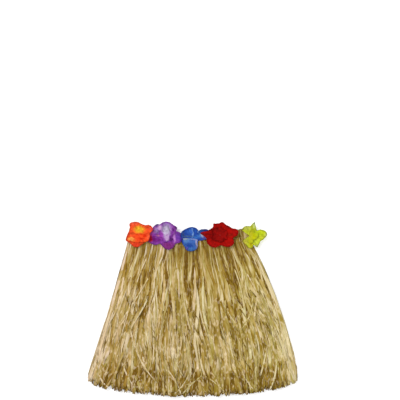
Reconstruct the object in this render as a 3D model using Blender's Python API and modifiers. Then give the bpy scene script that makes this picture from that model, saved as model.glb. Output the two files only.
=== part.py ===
"""A straw-coloured hula skirt with five cloth flowers on its waistband, laid flat on a surface.

X runs along the waist from the left edge to the right, Y from the hem to the waist, and Z up from
the surface. The origin is the middle of the footprint, at the surface. Sizes are in metres.

The skirt is a tube pressed flat. Its elastic waistband carries four curtains of raffia locks: an
outer and an inner one on the back, which lies on the surface, and the same on the front, on top.
"""

import math
import random
from collections import namedtuple

import bmesh
import bpy
import numpy as np
from mathutils import Vector

COLLECTION = "hula_skirt"

# The gap between pieces that touch or are sewn together.
SEAM_GAP = 0.0003

# The waistband's lower edge, as wide as half of the waist, sags in the middle.
WAIST_WIDTH = 0.297
WAIST_MIDDLE_X = -0.0072
WAIST_LOWEST_Y = 0.148
WAIST_SAG = 0.015
BAND_HEIGHT = 0.030

# The hem reaches lowest near its middle and tilts up a little to the right, and its corners are
# rounded off.
HEM_WIDTH = 0.507
HEM_MIDDLE_X = 0.001
HEM_LOWEST_Y = -0.2100
HEM_SAG = 0.029
HEM_TILT = 0.003
HEM_CORNER = 0.017
HEM_CORNER_POWER = 16

# Locks near the right edge leave the waist more slanted and bend back towards the hem, and those
# near the left edge do so a little the other way.
RIGHT_BEND = math.radians(8.6)
LEFT_BEND = math.radians(2.4)
BEND_POWER = 1.5

# The flattened elastic: two walls with a fold at each side.
ELASTIC_WALL = 0.0016
ELASTIC_HOLLOW = 0.0008
ELASTIC_MARGIN = 0.0012
ELASTIC_SPANS = 16

# Heights above the surface of the layers at the waist.
STRIP_THICK = 0.0024
BAND_BOTTOM_Z = STRIP_THICK + SEAM_GAP
BAND_THICK = 2 * ELASTIC_WALL + ELASTIC_HOLLOW
FRONT_STRIP_Z = BAND_BOTTOM_Z + BAND_THICK + SEAM_GAP
FRONT_STRIP_TOP_Z = FRONT_STRIP_Z + STRIP_THICK

# The inner curtains' root strips lie between the outer ones, just below the elastic.
INNER_STRIP_THICK = (BAND_THICK - SEAM_GAP) / 2
INNER_STRIP_TOP = -SEAM_GAP
INNER_STRIP_LOW = INNER_STRIP_TOP - 0.006
BACK_INNER_Z = BAND_BOTTOM_Z
FRONT_INNER_Z = BACK_INNER_Z + INNER_STRIP_THICK + SEAM_GAP

# A lock is widest at its flat underside and narrower along its top. Covers are shares of the
# spacing of the locks. A lock leaves its root strip over RISE_SHARE of its length, and comes down
# to its tip past FALL_SHARE.
LOCK_SEGMENTS = 5
ROOT_COVER = 0.78
LOCK_COVER = 0.74
LOCK_COVER_LOSS = 0.14
LOCK_TOP_SHARE = 0.5
TIP_TAPER = 0.5
UNEVEN_TIP = 0.018
WANDER = 0.7
RISE_SHARE = 0.4
FALL_SHARE = 0.6
TIP_THINNING = 0.25

# The shared sideways sway of neighbouring locks, which grows towards the hem.
SWAY = 0.0024
SWAY_TURNS_ACROSS = 1.15
SWAY_TURNS_DOWN = 0.8

RAFFIA = (0.42, 0.31, 0.115, 1.0)
ELASTIC = (0.50, 0.40, 0.22, 1.0)

# One row for each curtain of raffia. strip_low and strip_high are the edges of its root strip
# above the waistband's lower edge, strip_z is the strip's underside and strip_thick its
# thickness. body_z and tip_z are the undersides of the locks half way down and at the hem.
Curtain = namedtuple(
    "Curtain",
    "name locks strip_low strip_high strip_z strip_thick body_z tip_z lock_thick ripple seed",
)
CURTAINS = (
    Curtain("back_raffia_outer", 54, 0.0, BAND_HEIGHT,
            0.0, STRIP_THICK, 0.0, 0.0, 0.0030, 0.0, 11),
    Curtain("back_raffia_inner", 44, INNER_STRIP_LOW, INNER_STRIP_TOP,
            BACK_INNER_Z, INNER_STRIP_THICK, 0.0042, 0.0036, 0.0032, 0.0003, 23),
    Curtain("front_raffia_inner", 44, INNER_STRIP_LOW, INNER_STRIP_TOP,
            FRONT_INNER_Z, INNER_STRIP_THICK, 0.0088, 0.0076, 0.0032, 0.0004, 37),
    Curtain("front_raffia_outer", 60, 0.0, BAND_HEIGHT,
            FRONT_STRIP_Z, STRIP_THICK, 0.0136, 0.0118, 0.0034, 0.0005, 41),
)

# One row for each flower: where its middle is sewn, and how far its outer and inner cloths reach
# from there in the notches between their petals.
Flower = namedtuple("Flower", "name x y outer_notch inner_notch colour")
FLOWERS = (
    Flower("orange", -0.1270, 0.1785, 0.0240, 0.0050, (0.85, 0.10, 0.012, 1.0)),
    Flower("purple", -0.0600, 0.1772, 0.0250, 0.0130, (0.27, 0.06, 0.42, 1.0)),
    Flower("blue", 0.0012, 0.1653, 0.0178, 0.0050, (0.02, 0.10, 0.50, 1.0)),
    Flower("red", 0.0671, 0.1772, 0.0255, 0.0155, (0.42, 0.004, 0.004, 1.0)),
    Flower("yellow", 0.1400, 0.1752, 0.0150, 0.0100, (0.58, 0.60, 0.012, 1.0)),
)

# One row for each petal: the direction it points in and half the angle that it spans, in degrees,
# its length and how blunt its end is. rise is how much higher than the cloth under it the petal
# stands, CUP_REACH away from the flower's middle.
Petal = namedtuple("Petal", "flower layer angle spread length blunt rise")
PETALS = (
    Petal("orange", "outer", 116, 50, 0.0330, 4.0, 0.010),
    Petal("orange", "outer", 30, 44, 0.0360, 3.0, 0.013),
    Petal("orange", "outer", -24, 50, 0.0285, 4.0, 0.012),
    Petal("orange", "outer", -104, 50, 0.0310, 3.0, 0.008),
    Petal("orange", "outer", -152, 44, 0.0350, 2.6, 0.009),
    Petal("orange", "inner", -18, 44, 0.0220, 3.0, 0.006),
    Petal("orange", "inner", -90, 44, 0.0245, 3.0, 0.006),
    Petal("orange", "inner", -160, 42, 0.0245, 3.0, 0.005),
    Petal("purple", "outer", 94, 44, 0.0328, 3.5, 0.012),
    Petal("purple", "outer", 152, 40, 0.0410, 3.5, 0.004),
    Petal("purple", "outer", -168, 46, 0.0450, 2.4, 0.003),
    Petal("purple", "outer", -84, 44, 0.0338, 3.0, 0.009),
    Petal("purple", "outer", -14, 48, 0.0335, 4.0, 0.004),
    Petal("purple", "outer", 46, 30, 0.0300, 4.0, 0.012),
    Petal("purple", "inner", 100, 40, 0.0220, 3.0, 0.006),
    Petal("purple", "inner", 28, 36, 0.0195, 3.0, 0.006),
    Petal("purple", "inner", -40, 36, 0.0165, 3.0, 0.007),
    Petal("purple", "inner", -108, 36, 0.0180, 3.0, 0.007),
    Petal("purple", "inner", 172, 38, 0.0225, 3.0, 0.008),
    Petal("blue", "outer", 80, 48, 0.0305, 5.0, 0.008),
    Petal("blue", "outer", 150, 48, 0.0330, 4.0, 0.009),
    Petal("blue", "outer", 30, 30, 0.0400, 3.0, 0.003),
    Petal("blue", "outer", 12, 24, 0.0375, 3.0, 0.003),
    Petal("blue", "outer", -98, 56, 0.0285, 3.0, 0.008),
    Petal("blue", "outer", -152, 40, 0.0235, 4.0, 0.009),
    Petal("blue", "inner", -98, 58, 0.0270, 3.0, 0.008),
    Petal("blue", "inner", -150, 42, 0.0215, 4.0, 0.007),
    Petal("blue", "inner", 176, 24, 0.0225, 2.0, 0.006),
    Petal("blue", "inner", 6, 26, 0.0135, 3.0, 0.008),
    Petal("red", "outer", 98, 52, 0.0322, 5.0, 0.012),
    Petal("red", "outer", 173, 36, 0.0462, 1.4, 0.013),
    Petal("red", "outer", -138, 48, 0.0345, 5.0, 0.009),
    Petal("red", "outer", -42, 50, 0.0362, 4.0, 0.010),
    Petal("red", "outer", 12, 32, 0.0438, 2.6, 0.012),
    Petal("red", "inner", 54, 36, 0.0195, 2.2, 0.007),
    Petal("red", "inner", 126, 36, 0.0190, 2.2, 0.007),
    Petal("red", "inner", -162, 36, 0.0200, 2.2, 0.008),
    Petal("red", "inner", -90, 36, 0.0200, 2.2, 0.009),
    Petal("red", "inner", -18, 36, 0.0200, 2.2, 0.008),
    Petal("yellow", "outer", 75, 20, 0.0346, 1.1, 0.012),
    Petal("yellow", "outer", 126, 54, 0.0272, 6.0, 0.006),
    Petal("yellow", "outer", 180, 44, 0.0215, 4.0, 0.004),
    Petal("yellow", "outer", -100, 36, 0.0318, 3.0, 0.006),
    Petal("yellow", "outer", -60, 34, 0.0316, 2.2, 0.010),
    Petal("yellow", "outer", 0, 44, 0.0388, 4.0, 0.010),
    Petal("yellow", "inner", 75, 36, 0.0170, 2.2, 0.007),
    Petal("yellow", "inner", 150, 36, 0.0160, 2.2, 0.007),
    Petal("yellow", "inner", -135, 36, 0.0150, 2.2, 0.007),
    Petal("yellow", "inner", -75, 34, 0.0190, 2.2, 0.007),
    Petal("yellow", "inner", 0, 38, 0.0200, 2.2, 0.007),
)
PETAL_SPANS = 48
PETAL_RINGS = (0.34, 0.70, 1.0)
PETAL_WALL = 0.0010
CUP_REACH = 0.034
CUP_POWER = 1.6
RISE_SHARPNESS = 0.15


def clear_scene():
    """Removes every object that the file starts with."""
    for old in list(bpy.data.objects):
        bpy.data.objects.remove(old, do_unlink=True)


def make_material(name, colour, roughness):
    """A plain dielectric finish."""
    material = bpy.data.materials.new(name)
    material.use_nodes = True
    shader = material.node_tree.nodes["Principled BSDF"]
    shader.inputs["Base Color"].default_value = colour
    shader.inputs["Roughness"].default_value = roughness
    shader.inputs["Metallic"].default_value = 0.0
    return material


def add_object(name, shape, material, collection, parent):
    """Turns a shape into one named sub-part of the skirt's collection."""
    mesh = bpy.data.meshes.new(name)
    shape.to_mesh(mesh)
    shape.free()
    mesh.materials.append(material)
    made = bpy.data.objects.new(name, mesh)
    collection.objects.link(made)
    made.parent = parent
    return made


def waist_point(side, rise=0.0):
    """A point rise above the waistband's lower edge, from side -1 at its left end to 1 at its right."""
    x = WAIST_MIDDLE_X + WAIST_WIDTH / 2 * side
    y = WAIST_LOWEST_Y + WAIST_SAG * side**2
    slope = 4 * WAIST_SAG * side / WAIST_WIDTH
    upward = np.array([-slope, 1.0]) / math.hypot(slope, 1.0)
    return np.array([x, y]) + rise * upward


def hem_point(side):
    """A point on the trimmed hem."""
    x = HEM_MIDDLE_X + HEM_WIDTH / 2 * side
    y = HEM_LOWEST_Y + HEM_TILT * side + HEM_SAG * side**2
    y += HEM_CORNER * abs(side) ** HEM_CORNER_POWER
    return np.array([x, y])


def fan_point(side, share):
    """The point at this share of the way down the lock that leaves the waistband at side."""
    root, tip = waist_point(side), hem_point(side)
    chord = tip - root
    bend = (RIGHT_BEND if side > 0 else LEFT_BEND) * abs(side) ** BEND_POWER
    lean = math.atan2(chord[0], -chord[1]) + bend
    middle = root + np.linalg.norm(chord) / 2 * np.array([math.sin(lean), -math.cos(lean)])
    return (1 - share) ** 2 * root + 2 * share * (1 - share) * middle + share**2 * tip


def fan_across(side, share):
    """The direction across the lock at that point, level with the surface and towards the right."""
    step = 0.01
    down = fan_point(side, share + step) - fan_point(side, share - step)
    down /= np.linalg.norm(down)
    return np.array([-down[1], down[0]])


def sway(side, share):
    """How far the locks there lie to the right of the even fan."""
    turn = 2 * math.pi * (SWAY_TURNS_ACROSS * side + SWAY_TURNS_DOWN * share)
    return SWAY * share * math.sin(turn)


def smooth(value):
    """Eases from 0 to 1."""
    value = min(max(value, 0.0), 1.0)
    return value * value * (3 - 2 * value)


def lock_heights(curtain, share):
    """The underside and top of a lock: up from the root strip, level, then down to the tip."""
    rise = smooth(share / RISE_SHARE)
    fall = smooth((share - FALL_SHARE) / (1 - FALL_SHARE))
    low = curtain.strip_z + (curtain.body_z - curtain.strip_z) * rise
    low += (curtain.tip_z - curtain.body_z) * fall
    thick = curtain.strip_thick + (curtain.lock_thick - curtain.strip_thick) * rise
    return low, low + thick * (1 - TIP_THINNING * share)


def lock_sections(curtain, number, draw):
    """The four corners of each section of one lock below its root, from the waist to the hem."""
    side = -1 + (2 * number + 1) / curtain.locks
    half_spacing = 1 / curtain.locks
    length = 1 - draw.uniform(0, UNEVEN_TIP)
    cover = LOCK_COVER * (1 - draw.uniform(0, LOCK_COVER_LOSS))
    wander = [WANDER * draw.uniform(-1, 1) for _ in range(LOCK_SEGMENTS)]
    phase = draw.uniform(0, 2 * math.pi)
    sections = []
    for segment in range(1, LOCK_SEGMENTS + 1):
        share = length * segment / LOCK_SEGMENTS
        spacing = np.linalg.norm(
            fan_point(side + half_spacing, share) - fan_point(side - half_spacing, share)
        )
        width = spacing * cover
        across = fan_across(side, share)
        shift = sway(side, share) + wander[segment - 1] * (spacing - width) / 2
        middle = fan_point(side, share) + across * shift
        if segment == LOCK_SEGMENTS:
            width *= TIP_TAPER
        ripple = curtain.ripple * math.sin(phase + math.pi * segment) * math.sin(math.pi * share)
        low, high = (height + ripple for height in lock_heights(curtain, share))
        under = across * width / 2
        over = under * LOCK_TOP_SHARE
        sections.append([
            Vector((*(middle - under), low)),
            Vector((*(middle + under), low)),
            Vector((*(middle + over), high)),
            Vector((*(middle - over), high)),
        ])
    return sections


def strip_section(curtain, side):
    """The root strip's corners there: under and over at its lower edge, then over and under."""
    low = waist_point(side, curtain.strip_low)
    high = waist_point(side, curtain.strip_high)
    under = curtain.strip_z
    over = under + curtain.strip_thick
    return [
        Vector((*low, under)),
        Vector((*low, over)),
        Vector((*high, over)),
        Vector((*high, under)),
    ]


def build_curtain(curtain, material, collection, parent):
    """Locks that stand apart, fused at their roots into one narrow strip along the waistband."""
    draw = random.Random(curtain.seed)
    shape = bmesh.new()
    half_root = ROOT_COVER / curtain.locks
    sides = []
    for number in range(curtain.locks):
        middle = -1 + (2 * number + 1) / curtain.locks
        sides += [middle - half_root, middle + half_root]
    columns = [[shape.verts.new(corner) for corner in strip_section(curtain, side)] for side in sides]
    for column, (left, right) in enumerate(zip(columns[:-1], columns[1:])):
        for k in (1, 2, 3):
            after = (k + 1) % 4
            shape.faces.new((left[k], right[k], right[after], left[after]))
        is_gap = column % 2 == 1
        if is_gap:
            shape.faces.new((left[0], right[0], right[1], left[1]))
            continue
        section = [left[0], right[0], right[1], left[1]]
        for corners in lock_sections(curtain, column // 2, draw):
            following = [shape.verts.new(corner) for corner in corners]
            for k in range(4):
                after = (k + 1) % 4
                shape.faces.new((section[k], section[after], following[after], following[k]))
            section = following
        shape.faces.new(section)
    shape.faces.new(columns[0])
    shape.faces.new(columns[-1])
    bmesh.ops.recalc_face_normals(shape, faces=shape.faces)
    return add_object(curtain.name, shape, material, collection, parent)


def build_waistband(material, collection, parent):
    """The elastic, closed into a loop and pressed flat: two walls joined by a fold at each side."""
    reach = 1 - 2 * ELASTIC_MARGIN / WAIST_WIDTH
    across = [reach * (2 * n / ELASTIC_SPANS - 1) for n in range(ELASTIC_SPANS + 1)]
    middle_z = BAND_BOTTOM_Z + BAND_THICK / 2
    offset = (ELASTIC_HOLLOW + ELASTIC_WALL) / 2
    fold = reach + 2 * offset / WAIST_WIDTH
    loop = [(side, middle_z - offset) for side in across]
    loop += [(fold, middle_z)]
    loop += [(side, middle_z + offset) for side in reversed(across)]
    loop += [(-fold, middle_z)]
    shape = bmesh.new()
    edges = []
    for side, z in loop:
        low = shape.verts.new((*waist_point(side), z))
        high = shape.verts.new((*waist_point(side, BAND_HEIGHT), z))
        edges.append((low, high))
    for here, after in zip(edges, edges[1:] + edges[:1]):
        shape.faces.new((here[0], after[0], after[1], here[1]))
    bmesh.ops.recalc_face_normals(shape, faces=shape.faces)
    band = add_object("waistband", shape, material, collection, parent)
    wall = band.modifiers.new("wall", "SOLIDIFY")
    wall.thickness = ELASTIC_WALL
    wall.offset = 0.0
    return band


def petal_offset(petal, angle):
    """How far this direction is from the petal's, as a share of half of what the petal spans."""
    away = (math.degrees(angle) - petal.angle + 180) % 360 - 180
    return abs(away) / petal.spread


def petal_reach(petals, notch, angle):
    """How far the cloth reaches from the flower's middle in this direction."""
    lobes = [petal.length * (1 - min(petal_offset(petal, angle), 1) ** petal.blunt) for petal in petals]
    return max(notch, *lobes)


def petal_rise(petals, angle):
    """How high the cloth stands CUP_REACH away in this direction, blended from its petals."""
    weights = [1 / (petal_offset(petal, angle) ** 2 + RISE_SHARPNESS) for petal in petals]
    return sum(weight * petal.rise for weight, petal in zip(weights, petals)) / sum(weights)


def build_petals(flower, name, outline, lift, material, collection, parent):
    """One cut and cupped layer of cloth: an open sheet with a wall's thickness."""
    shape = bmesh.new()
    middle = shape.verts.new((0, 0, 0))
    rings = []
    for ring in PETAL_RINGS:
        points = []
        for number, (reach, rise) in enumerate(outline):
            angle = 2 * math.pi * number / PETAL_SPANS
            radius = ring * reach
            height = rise * (radius / CUP_REACH) ** CUP_POWER
            points.append(shape.verts.new((radius * math.cos(angle), radius * math.sin(angle), height)))
        rings.append(points)
    for k in range(PETAL_SPANS):
        after = (k + 1) % PETAL_SPANS
        shape.faces.new((middle, rings[0][k], rings[0][after]))
        for inner, outer in zip(rings[:-1], rings[1:]):
            shape.faces.new((inner[k], outer[k], outer[after], inner[after]))
    cloth = add_object(name, shape, material, collection, parent)
    cloth.data.shade_smooth()
    cloth.location = (flower.x, flower.y, FRONT_STRIP_TOP_Z + SEAM_GAP + lift)
    wall = cloth.modifiers.new("wall", "SOLIDIFY")
    wall.thickness = PETAL_WALL
    wall.offset = 1.0
    return cloth


def build_flower(flower, collection, parent):
    """Two layers of cloth petals, the smaller one nested in the larger."""
    material = make_material(f"{flower.name}_cloth", flower.colour, 0.75)
    outer = [petal for petal in PETALS if (petal.flower, petal.layer) == (flower.name, "outer")]
    inner = [petal for petal in PETALS if (petal.flower, petal.layer) == (flower.name, "inner")]
    outer_outline, inner_outline = [], []
    for number in range(PETAL_SPANS):
        angle = 2 * math.pi * number / PETAL_SPANS
        rise = petal_rise(outer, angle)
        outer_outline.append((petal_reach(outer, flower.outer_notch, angle), rise))
        rise += petal_rise(inner, angle)
        inner_outline.append((petal_reach(inner, flower.inner_notch, angle), rise))
    build_petals(flower, f"{flower.name}_petals_outer", outer_outline,
                 0.0, material, collection, parent)
    build_petals(flower, f"{flower.name}_petals_inner", inner_outline,
                 PETAL_WALL + SEAM_GAP, material, collection, parent)


def build_skirt():
    """The whole skirt, parented to an empty at the middle of its footprint."""
    clear_scene()
    collection = bpy.data.collections.new(COLLECTION)
    bpy.context.scene.collection.children.link(collection)
    middle = bpy.data.objects.new("hula_skirt_middle", None)
    collection.objects.link(middle)
    raffia = make_material("raffia", RAFFIA, 0.45)
    elastic = make_material("elastic", ELASTIC, 0.8)
    build_waistband(elastic, collection, middle)
    for curtain in CURTAINS:
        build_curtain(curtain, raffia, collection, middle)
    for flower in FLOWERS:
        build_flower(flower, collection, middle)


build_skirt()
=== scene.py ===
"""The looks of a raffia hula skirt that lies flat, with five cloth flowers on its waistband.

X runs along the waist to the right, Y from the hem to the waist and Z up from the surface, in
metres. Every ribbon of raffia is a thin closed form, and how high it lies goes by how many others
lie under it.
"""

import math
from collections import namedtuple

import bmesh
import bpy
import numpy as np
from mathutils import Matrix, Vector


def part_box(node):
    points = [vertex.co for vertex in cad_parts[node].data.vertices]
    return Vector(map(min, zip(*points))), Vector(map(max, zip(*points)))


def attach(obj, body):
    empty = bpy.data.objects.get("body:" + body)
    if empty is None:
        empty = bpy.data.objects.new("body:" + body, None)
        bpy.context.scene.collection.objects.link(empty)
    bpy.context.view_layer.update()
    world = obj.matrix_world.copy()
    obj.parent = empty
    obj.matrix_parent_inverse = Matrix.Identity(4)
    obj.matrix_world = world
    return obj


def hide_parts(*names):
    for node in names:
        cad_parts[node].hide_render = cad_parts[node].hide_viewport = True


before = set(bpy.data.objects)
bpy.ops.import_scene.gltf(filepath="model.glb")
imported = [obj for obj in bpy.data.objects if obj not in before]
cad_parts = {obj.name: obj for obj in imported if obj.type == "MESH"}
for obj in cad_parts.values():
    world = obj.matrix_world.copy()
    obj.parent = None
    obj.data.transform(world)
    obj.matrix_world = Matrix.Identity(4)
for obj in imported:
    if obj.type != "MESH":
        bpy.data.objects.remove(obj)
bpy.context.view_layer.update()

BODY = "root"
MM = 0.001
FULL_TURN = 2 * np.pi
TINY = 1e-9

# The waistband's sizes are those of its solid. The hem follows the photographed ends of the ribbons,
# so it is a little off the solids' own.
WAIST_WIDTH = 0.297
WAIST_MIDDLE_X = -0.0072
WAIST_LOWEST_Y = 0.148
WAIST_SAG = 0.015
BAND_HEIGHT = 0.030
HEM_WIDTH = 0.507
HEM_MIDDLE_X = 0.001
HEM_LOWEST_Y = -0.2110
HEM_SAG = 0.0275
HEM_TILT = 0.0002
HEM_CORNER = 0.015
HEM_CORNER_POWER = 16
RIGHT_BEND = math.radians(8.6)
LEFT_BEND = math.radians(2.4)
BEND_POWER = 1.5
BAND_LOW_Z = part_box("waistband")[0][2]
BAND_HIGH_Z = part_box("waistband")[1][2]
BAND_MIDDLE_Z = (BAND_LOW_Z + BAND_HIGH_Z) / 2
FRONT_STRIP_TOP_Z = 0.0094

# The photograph's frame: metres to a pixel, the pixel at the origin, and the camera's lens.
METRES_A_PIXEL = 0.002395
ORIGIN_PIXEL = (192.0, 309.0)
FRAME_PIXELS = 400
LENS_MM = 85.0
SENSOR_MM = 36.0
PILE_HEIGHT = 0.010


def on_waist(side, rise):
    """Points rise above the waistband's lower edge, from side -1 at its left end to 1."""
    x = WAIST_MIDDLE_X + WAIST_WIDTH / 2 * side
    y = WAIST_LOWEST_Y + WAIST_SAG * side**2
    slope = 4 * WAIST_SAG * side / WAIST_WIDTH
    length = np.hypot(slope, 1.0)
    return np.stack([x - rise * slope / length, y + rise / length], -1)


def on_hem(side):
    """Points of the trimmed hem."""
    x = HEM_MIDDLE_X + HEM_WIDTH / 2 * side
    y = HEM_LOWEST_Y + HEM_TILT * side + HEM_SAG * side**2
    y += HEM_CORNER * np.abs(side) ** HEM_CORNER_POWER
    return np.stack([x, y], -1)


def on_fan(side, share):
    """Points at this share of the way down the line that leaves the waistband at side."""
    root = on_waist(side, 0.0)
    chord = on_hem(side) - root
    bend = np.where(side > 0, RIGHT_BEND, LEFT_BEND) * np.abs(side) ** BEND_POWER
    lean = np.arctan2(chord[..., 0], -chord[..., 1]) + bend
    reach = np.linalg.norm(chord, axis=-1)[..., None] / 2
    middle = root + reach * np.stack([np.sin(lean), -np.cos(lean)], -1)
    s = share[..., None]
    return (1 - s) ** 2 * root + 2 * s * (1 - s) * middle + s**2 * on_hem(side)


def ease(value, start=0.0, end=1.0):
    """Eases from 0 at start to 1 at end."""
    t = np.clip((value - start) / (end - start), 0.0, 1.0)
    return t * t * (3 - 2 * t)


def middles(count):
    """The middles of this many equal parts, from 0 to 1."""
    return (np.arange(count) + 0.5) / count


def smooth_noise(draw, count, stations, knots):
    """One smooth random row for each ribbon, a cubic spline of standard deviation near 1."""
    spline_gain = 1.45
    values = draw.normal(size=(count, knots + 3))
    place = np.linspace(0, knots, stations, endpoint=False)
    knot = place.astype(int)
    t = place - knot
    a, b, c, d = (values[:, knot + k] for k in range(4))
    return ((1 - t) ** 3 * a + (3 * t**3 - 6 * t**2 + 4) * b
            + (-3 * t**3 + 3 * t**2 + 3 * t + 1) * c + t**3 * d) / 6 * spline_gain


# One row for each curtain of raffia ribbons, with its ribbons' mean width. spread is how far their
# tips stray sideways, length the shortest share of the way to the hem and tone their place from
# pale to ochre. The loose pile starts at low_z, and each ribbon under another adds growth to it.
# root_low and root_high are the heights between which the roots lie, and edge is the side beyond
# which ribbons are held back.
Curtain = namedtuple(
    "Curtain",
    "name replaces ribbons stations clumps width spread length tone "
    "low_z growth root_low root_high edge seed",
)
CURTAINS = (
    Curtain("back_ribbons_outer", "back_raffia_outer", 560, 20, 40, 0.0042, 0.012, 0.965, 0.55,
            0.0004, 0.00042, 0.0006, 0.0023, 0.982, 3),
    Curtain("back_ribbons_inner", "back_raffia_inner", 460, 20, 40, 0.0040, 0.013, 0.965, 0.62,
            0.0042, 0.00048, 0.0027, 0.0045, 0.979, 5),
    # The front inner ribbons are dark ochre: painted shade for the gaps between the outer ribbons above
    # them.
    Curtain("front_ribbons_inner", "front_raffia_inner", 620, 26, 52, 0.0052, 0.017, 0.965, 0.95,
            0.0100, 0.00038, 0.0049, 0.0068, 0.974, 7),
    Curtain("front_ribbons_outer", "front_raffia_outer", 760, 40, 60, 0.0053, 0.018, 0.965, 0.53,
            0.0134, 0.00042, 0.0071, 0.0092, 0.967, 9),
)

# How the ribbons of a clump come together and part again. Each span here and below is a stretch of
# the way down, as shares of it, over which the ribbons change.
CLUMP_SPREAD = 0.25
CLUMP_LEAN = 0.5
CLUMP_PULL = 0.70
PULL_SPAN = (0.02, 0.35)
PULL_LOST = 0.55
PULL_LOST_SPAN = (0.45, 1.0)
CLUMP_SWAY = 0.0078
SWAY_KNOTS = 4
SWAY_SPAN = (0.03, 0.5)

# How each ribbon wanders, bends and crinkles, and how those at the skirt's sides are held back.
TIP_STRAY_POWER = 1.3
BEND = 0.0048
BEND_KNOTS = 5
BEND_SPAN = (0.0, 0.25)
CRINKLE = 0.0010
CRINKLE_KNOTS = 13
CRINKLE_SPAN = (0.0, 0.15)
EDGE_ROOM = 0.016
EDGE_FIRMNESS = 9

# How each ribbon twists, in radians, with a share of it near the root. A turned ribbon shows its
# other face from somewhere between TURN_PLACES down.
TWIST = 0.30
TWIST_KNOTS = 7
CURL = 0.16
CURL_KNOTS = 15
ROOT_TWIST_SHARE = 0.45
ROOT_TWIST_SPAN = (0.0, 0.1)
FULL_TWIST_SPAN = (0.2, 0.6)
TURNED_SHARE = 0.25
TURN_PLACES = (0.3, 0.9)
TURN_REACH = 0.05
NEVER_TURNED = 2.0

# A ribbon's section: how its width changes, the limits of it and its shares at the tip and at the
# root, its thickness, and how deep its crease is for its half width. Over LOOSE_SPAN it goes from
# its root's width and height to its own width and its place in the pile.
WIDTH_SPREAD = 0.36
WIDTH_CHANGE = 0.15
WIDTH_KNOTS = 6
WIDTH_LIMITS = (0.0016, 0.0095)
TIP_SHARES = (0.2, 0.9)
ROOT_WIDTH_SHARE = 0.55
LOOSE_SPAN = (0.0, 0.30)
RIBBON_THICK = 0.00022
CREASE = 0.18
FLOOR_GAP = 0.00005

# How the ribbons pile up: the side of a cell in which they are counted, what keeps the cells'
# numbers apart, the steps looked at from station to station, and how far every pile is evened out
# to the same height. The depths put the clumps and ribbons in order from the bottom up.
CELL = 0.0028
CELL_ROW = 4096
STEPS_A_STATION = 4
EVENNESS = 0.85
EVEN_PILE = 10
DEPTH_SPREAD = 0.8
CLUMP_DEPTH_SPREAD = 1.2
DEPTH_KNOTS = 6
DEPTH_SPAN = (0.10, 0.45)
TWIST_RISE = 0.25

# How the tone changes from clump to clump and from ribbon to ribbon, less so further down, and how
# much more ochre a ribbon is below the others and paler above them, as painted shade in the gaps of
# the pile.
CLUMP_TONE = 0.15
CLUMP_TONE_LOST = 0.5
CLUMP_TONE_LOST_SPAN = (0.35, 0.70)
RIBBON_TONE = 0.28
RIBBON_TONE_LOST = 0.4
RIBBON_TONE_LOST_SPAN = (0.35, 0.65)
DEEP_SHADE_TONE = 0.70
MIDDLE_DEPTH = 0.55

# The roots: stations from a ribbon's upper end to where it leaves the elastic. Each has its rise as
# a share of that end's, and its distance from the elastic's middle as a share of the root's. The
# outer ribbons are folded over the elastic's upper edge, and the inner ones start just above its
# lower edge.
ROOT_RISES = (1.0, 1.0, 0.62, 0.25)
ROOT_FOLD_RISE = 0.0008
INNER_ROOT_RISE = 0.001
OUTER_ROOT_FOLD = (0.0, 0.75, 1.0, 1.0)
INNER_ROOT_FOLD = (0.85, 0.9, 0.95, 1.0)
ROOT_STATIONS = len(ROOT_RISES)
ROOT_WANDER = 0.0016
ROOT_EDGE = 0.995
FRONT_ROOT_LIFT = 0.0002

# Stretches of the way down that are more ochre by tone: it comes in over one span and goes out over
# the other. A span before or past the whole way leaves an end open. The first two are painted shade
# at the waist, under the flowers, and the last makes the pile darker towards the hem.
Stretch = namedtuple("Stretch", "tone comes goes")
BEFORE = (-2.0, -1.0)
PAST = (2.0, 3.0)
OCHRE_AND_SHADE_STRETCHES = (
    Stretch(0.10, BEFORE, (-0.02, 0.14)),
    Stretch(0.13, BEFORE, (0.12, 0.42)),
    Stretch(0.12, (0.12, 0.25), (0.50, 0.62)),
    Stretch(0.35, (0.79, 0.86), PAST),
)

# The skirt's two edges are paler by these tones. That starts at the first of PALE_SIDES and is full
# at the second, and the right edge is RIGHT_PALE paler still.
PALE_STRETCHES = (
    Stretch(0.32, BEFORE, PAST),
    Stretch(0.12, (0.30, 0.60), PAST),
    Stretch(0.18, (0.60, 0.95), PAST),
)
PALE_SIDES = (0.84, 0.97)
RIGHT_PALE = 0.02

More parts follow.
